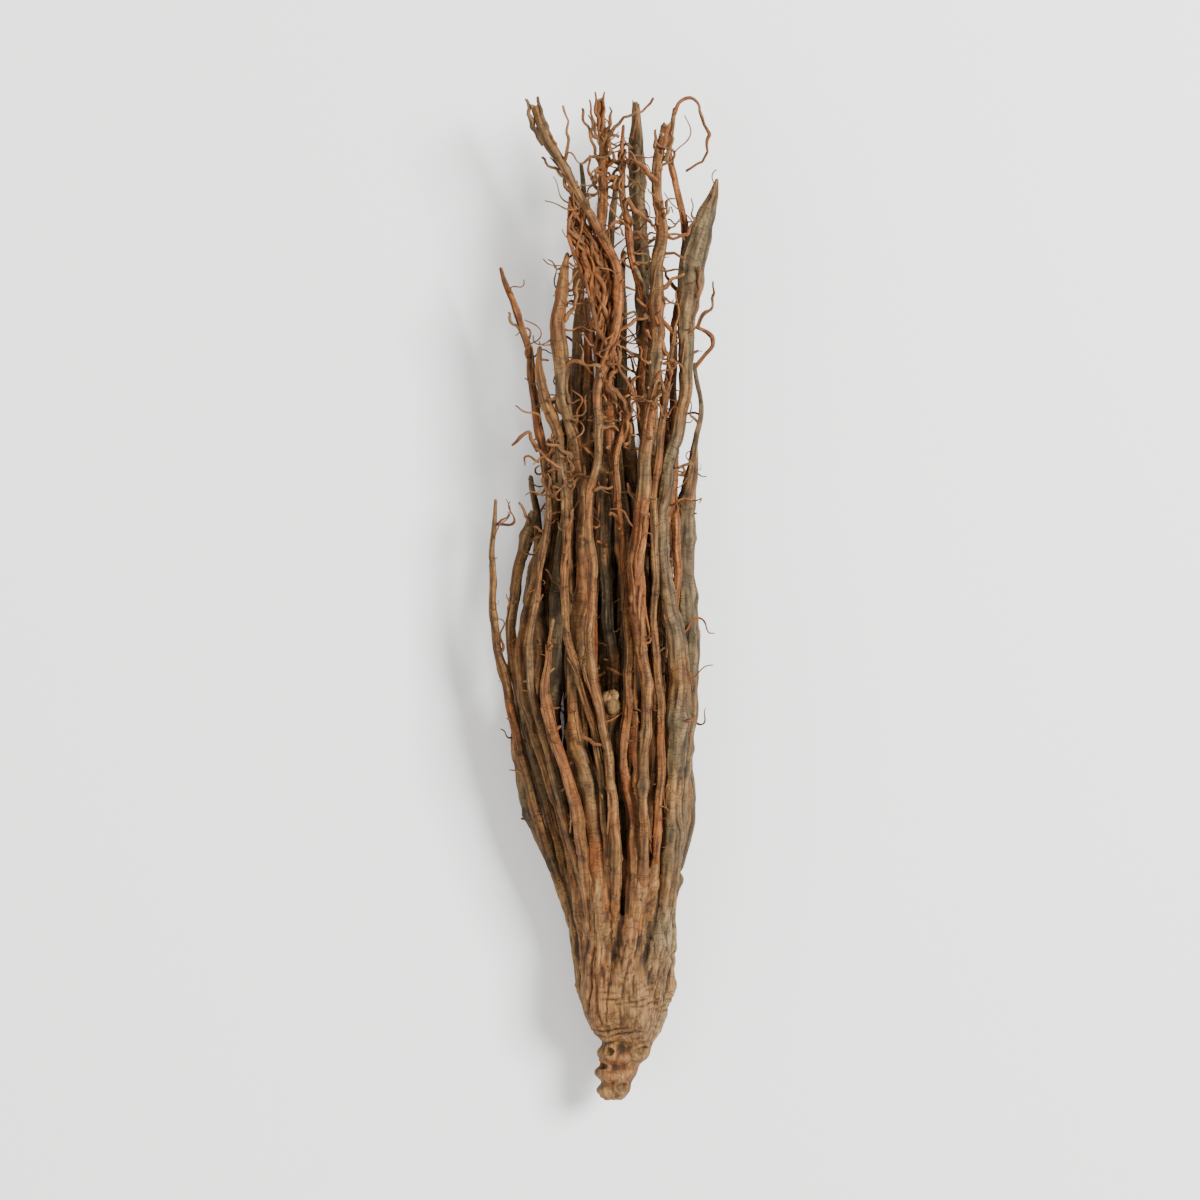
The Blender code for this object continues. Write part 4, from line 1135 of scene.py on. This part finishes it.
# Knobs at broken stubs: leg, distance from the crown's end, way round the leg, radius. The dark ones have
# weathered, and the pale ones are fresh flesh, painted bright enough to stand for highlights too
darkKnobs = (
    ("stubCentre", 65.0, 1.5, 1.4), ("stubCentre", 66.2, 2.5, 1.0), ("stubCentre", 66.6, 1.0, 0.9),
    ("snappedCentre", 102.4, 1.6, 1.1), ("snappedCentre", 109.2, 1.6, 0.75),
)
paleKnobs = (
    ("secondCentre", 126.3, 1.4, 0.75), ("frayedCentre", 156.4, 0.5, 0.36), ("brightRight", 154.6, 2.4, 0.4),
    ("brightRight", 119.4, 2.8, 0.42), ("brightRight", 115.4, 2.9, 0.36), ("brightRight", 119.8, 0.7, 0.34),
    ("frayedLeft", 117.4, 1.4, 0.42),
)


def pointOnLeg(draw, name, low):
    last = legRoutes[name][-1][1]
    line, radii = bentLegLine(name, np.array([draw.uniform(low, last - 1.5)]))
    turn = draw.uniform(-0.4, math.pi + 0.4)
    outward = np.array((math.cos(turn), 0.0, math.sin(turn)))
    return line[0] + outward * radii[0] * 0.7, outward


def stumpSkin(names, draw):
    start, outward = pointOnLeg(draw, draw.choice(names), stumps["from"])
    heading = outward + np.array((draw.uniform(-0.4, 0.4), draw.uniform(-0.2, 1.2), draw.uniform(-0.2, 0.3)))
    length, girth = draw.uniform(*stumps["length"]), draw.uniform(*stumps["girth"])
    line = start + np.linspace(0, length + 0.3, 5)[:, None] * heading / np.linalg.norm(heading)
    pale = draw.random() < stumps["paleShare"]
    radii = girth * np.linspace(*stumps["taper"], 5)
    return wrinkledSkin(line, radii, 8, draw, draw.uniform(*stumps["warmth"]), rootletRelief, broken=pale)


def hairSkins(names, draw):
    relief = {**rootletRelief, "depth": 0.1}
    skins = []
    for _ in range(hairs["count"]):
        start, outward = pointOnLeg(draw, draw.choice(names), hairs["from"])
        bearing = math.atan2(outward[1] + 0.9, outward[0]) + draw.uniform(-hairs["spread"], hairs["spread"])
        pitch, length = math.asin(outward[2]) * 0.7, draw.uniform(*hairs["length"])
        line = curledLine(start, bearing, pitch, length, hairs["curl"], draw)
        radii = np.linspace(draw.uniform(*hairs["girth"]), hairs["tip"], len(line))
        if insideBox(line, hairs["margin"]):
            skins.append(wrinkledSkin(line, radii, 5, draw, 0.8, relief))
    return skins


knobs = {"rings": 15, "sides": 20, "sunk": 0.6, "lean": 0.15, "stretch": 1.05, "warmth": 0.4}
knobRelief = {**barkRelief, "ridges": ((1, 0.35), (2, 0.3), (4, 0.3), (7, 0.2)), "swell": 0.3,
              "knotEvery": 1.0, "depth": 0.4}


def knobSkin(name, y, turn, radius, draw):
    way = np.linspace(-1, 1, knobs["rings"])
    middle, radii = bentLegLine(name, np.array([y]))
    x = middle[0, 0] + math.cos(turn) * radii[0] * knobs["sunk"]
    z = middle[0, 2] + math.sin(turn) * radii[0] * knobs["sunk"]
    half = radius * way
    line = np.stack([x + knobs["lean"] * half, y + knobs["stretch"] * half, z + 0.0 * way], axis=1)
    radii = radius * np.sqrt(np.clip(1 - way**2, 0.01, 1))
    skin = wrinkledSkin(line, radii, knobs["sides"], draw, knobs["warmth"], knobRelief)
    # Paler on the raised parts of the knob, where the flesh shows; on the pale knobs this also stands for a
    # painted highlight
    skin["flesh"] = np.clip(1.05 - 1.1 * skin["furrow"], 0.1, 0.85)
    return skin


# Narrow strips of bark that lifted off as the root dried: leg, where the strip still holds on, how far it
# reaches from there (towards the crown where below zero), way round the leg, radius, warmth
placedStrips = (
    ("brightRight", 86.0, -9.5, 0.4, 0.42, 0.95), ("brightRight", 84.0, -6.5, 0.9, 0.36, 0.9),
    ("brightRight", 80.0, 8.0, 1.9, 0.34, 0.8), ("brightRight", 92.0, 9.0, 0.7, 0.4, 0.95),
    ("brightRight", 84.5, 11.0, 1.45, 0.52, 1.0), ("brightRight", 86.0, 9.0, 1.1, 0.46, 1.0),
    ("brightRight", 96.0, -10.0, 1.3, 0.46, 1.0), ("brightRight", 79.0, 7.0, 1.2, 0.4, 0.95),
    ("brightRight", 98.0, -8.0, 1.4, 0.32, 0.9), ("brightRight", 109.0, 7.0, 2.3, 0.3, 0.7),
    ("spindleRight", 82.0, -8.0, 2.4, 0.34, 0.4), ("spindleRight", 60.0, 9.0, 1.9, 0.32, 0.3),
    ("knottyLeft", 56.0, 8.0, 0.8, 0.34, 0.6), ("knottyLeft", 103.0, 8.0, 0.4, 0.3, 0.7),
    ("frayedLeft", 118.0, 9.0, 2.2, 0.3, 0.9), ("frayedLeft", 52.0, -7.0, 2.6, 0.26, 0.7),
    ("shortLeft", 58.0, 7.0, 2.8, 0.3, 0.8), ("frayedCentre", 131.0, 9.0, 0.6, 0.34, 0.95),
    ("frayedCentre", 144.0, -8.0, 2.5, 0.32, 0.95), ("russetCentre", 58.0, 8.0, 0.9, 0.28, 0.9),
)
looseStrips = {
    "count": 70,
    "from": 18.0,  # mm beyond the leg's root
    "length": (3.0, 8.0),
    "turn": (0.2, 2.9),
    "girth": (0.14, 0.28),
    "warmth": (0.35, 0.95),
    "sunk": (0.82, 0.12),  # of the leg's radius: where the strip starts, how much further out it ends
    "lift": 0.45,
    "turning": 0.8,
    "thinning": 0.65,
}


def stripSkin(name, held, reach, turn, girth, warmth, draw):
    share = np.linspace(0, 1, max(7, round(abs(reach) / curlStep)))
    line, radii = bentLegLine(name, held + reach * share)
    turns = turn + draw.uniform(-1, 1) * looseStrips["turning"] * share
    sunk, rise = looseStrips["sunk"]
    away = radii * (sunk + rise * share) + looseStrips["lift"] * draw.uniform(0.5, 1.5) * share**2
    line[:, 0] += np.cos(turns) * away
    line[:, 2] += np.sin(turns) * away
    return wrinkledSkin(line, girth * (1 - looseStrips["thinning"] * share), 8, draw, warmth, rootletRelief)


def stripSkins():
    draw = random.Random(seed + 10)
    strips = [(*strip, draw) for strip in placedStrips]
    for _ in range(looseStrips["count"]):
        name = draw.choice(list(showingLegs))
        reach = draw.choice((-1, 1)) * draw.uniform(*looseStrips["length"])
        low = legRoutes[name][0][1] + looseStrips["from"]
        high = min(legRoutes[name][-1][1], legs["end"]) - 2
        held = draw.uniform(low - min(reach, 0), high - max(reach, 0))
        girth, turn = draw.uniform(*looseStrips["girth"]), draw.uniform(*looseStrips["turn"])
        strips.append((name, held, reach, turn, girth, draw.uniform(*looseStrips["warmth"]), draw))
    return [stripSkin(*strip) for strip in strips]


addSkins("lifted_bark", stripSkins(), rootletBark)
stumpDraw, knobDraw = random.Random(seed + 8), random.Random(seed + 9)
stumpLegs = list(showingLegs) + [name for name in legRoutes if name not in showingLegs][::2]
small = [stumpSkin(stumpLegs, stumpDraw) for _ in range(stumps["count"])] + hairSkins(stumpLegs, stumpDraw)
addSkins("stumps_and_hairs", small, rootletBark)
addSkins("dark_knobs", [knobSkin(*knob, knobDraw) for knob in darkKnobs], legBark)
addSkins("pale_knobs", [knobSkin(*knob, knobDraw) for knob in paleKnobs], paleFleshAndHighlight)


# The table, the light and the camera

studio = {
    "table": "#f6f5f3",
    "tableSize": 4.0,  # m
    "tableDepth": 0.05,  # mm below the root, so that their faces don't meet
    "air": ("#ffffff", 0.64),
    "lights": (  # place, size across, watts
        ((0.62, 0.3, 0.72), 0.36, 26.0),
        ((-0.75, -0.05, 0.8), 0.9, 6.0),
        ((0.0, -0.9, 0.7), 0.8, 3.6),
    ),
}


def addStudio():
    half = studio["tableSize"] / 2
    mesh = bpy.data.meshes.new("table")
    corners = [(-half, -half, 0), (half, -half, 0), (half, half, 0), (-half, half, 0)]
    mesh.from_pydata(corners, [], [(0, 1, 2, 3)])
    table = bpy.data.objects.new("table", mesh)
    table.location.z = -studio["tableDepth"] * mm
    bpy.context.scene.collection.objects.link(table)
    paint = bpy.data.materials.new("mattTablePaint")
    paint.use_nodes = True
    shader = paint.node_tree.nodes["Principled BSDF"]
    shader.inputs["Base Color"].default_value = linearColour(studio["table"])
    shader.inputs["Roughness"].default_value = 0.7
    mesh.materials.append(paint)
    for k, (place, size, watts) in enumerate(studio["lights"]):
        lamp = bpy.data.lights.new(f"softLight{k}", "AREA")
        lamp.size = size
        lamp.energy = watts
        light = bpy.data.objects.new(lamp.name, lamp)
        light.location = place
        light.rotation_euler = (-Vector(place)).to_track_quat("-Z", "Y").to_euler()
        bpy.context.scene.collection.objects.link(light)
    world = bpy.context.scene.world or bpy.data.worlds.new("air")
    bpy.context.scene.world = world
    world.use_nodes = True
    air = world.node_tree.nodes["Background"]
    air.inputs["Color"].default_value = linearColour(studio["air"][0])
    air.inputs["Strength"].default_value = studio["air"][1]


# The photo looks at the standing root from a little above its middle, so this looks down from a little
# beyond the tips' side
view = {
    "distance": 0.8,  # m
    "above": 7.6,  # degrees
    "frame": 0.19,  # m that the picture takes in
    "aim": (-0.0005, 0.0, 0.008),
    "sensor": 36.0,  # mm
}


def addCamera():
    lens = bpy.data.cameras.new("camera")
    lens.sensor_width = view["sensor"]
    lens.lens = view["sensor"] * view["distance"] / view["frame"]
    camera = bpy.data.objects.new("camera", lens)
    lean = math.radians(view["above"])
    camera.location = Vector(view["aim"]) + view["distance"] * Vector((0, math.sin(lean), math.cos(lean)))
    camera.rotation_euler = (-lean, 0, 0)
    bpy.context.scene.collection.objects.link(camera)
    bpy.context.scene.camera = camera


addStudio()
addCamera()
print("studio ready")

bpy.context.view_layer.update()
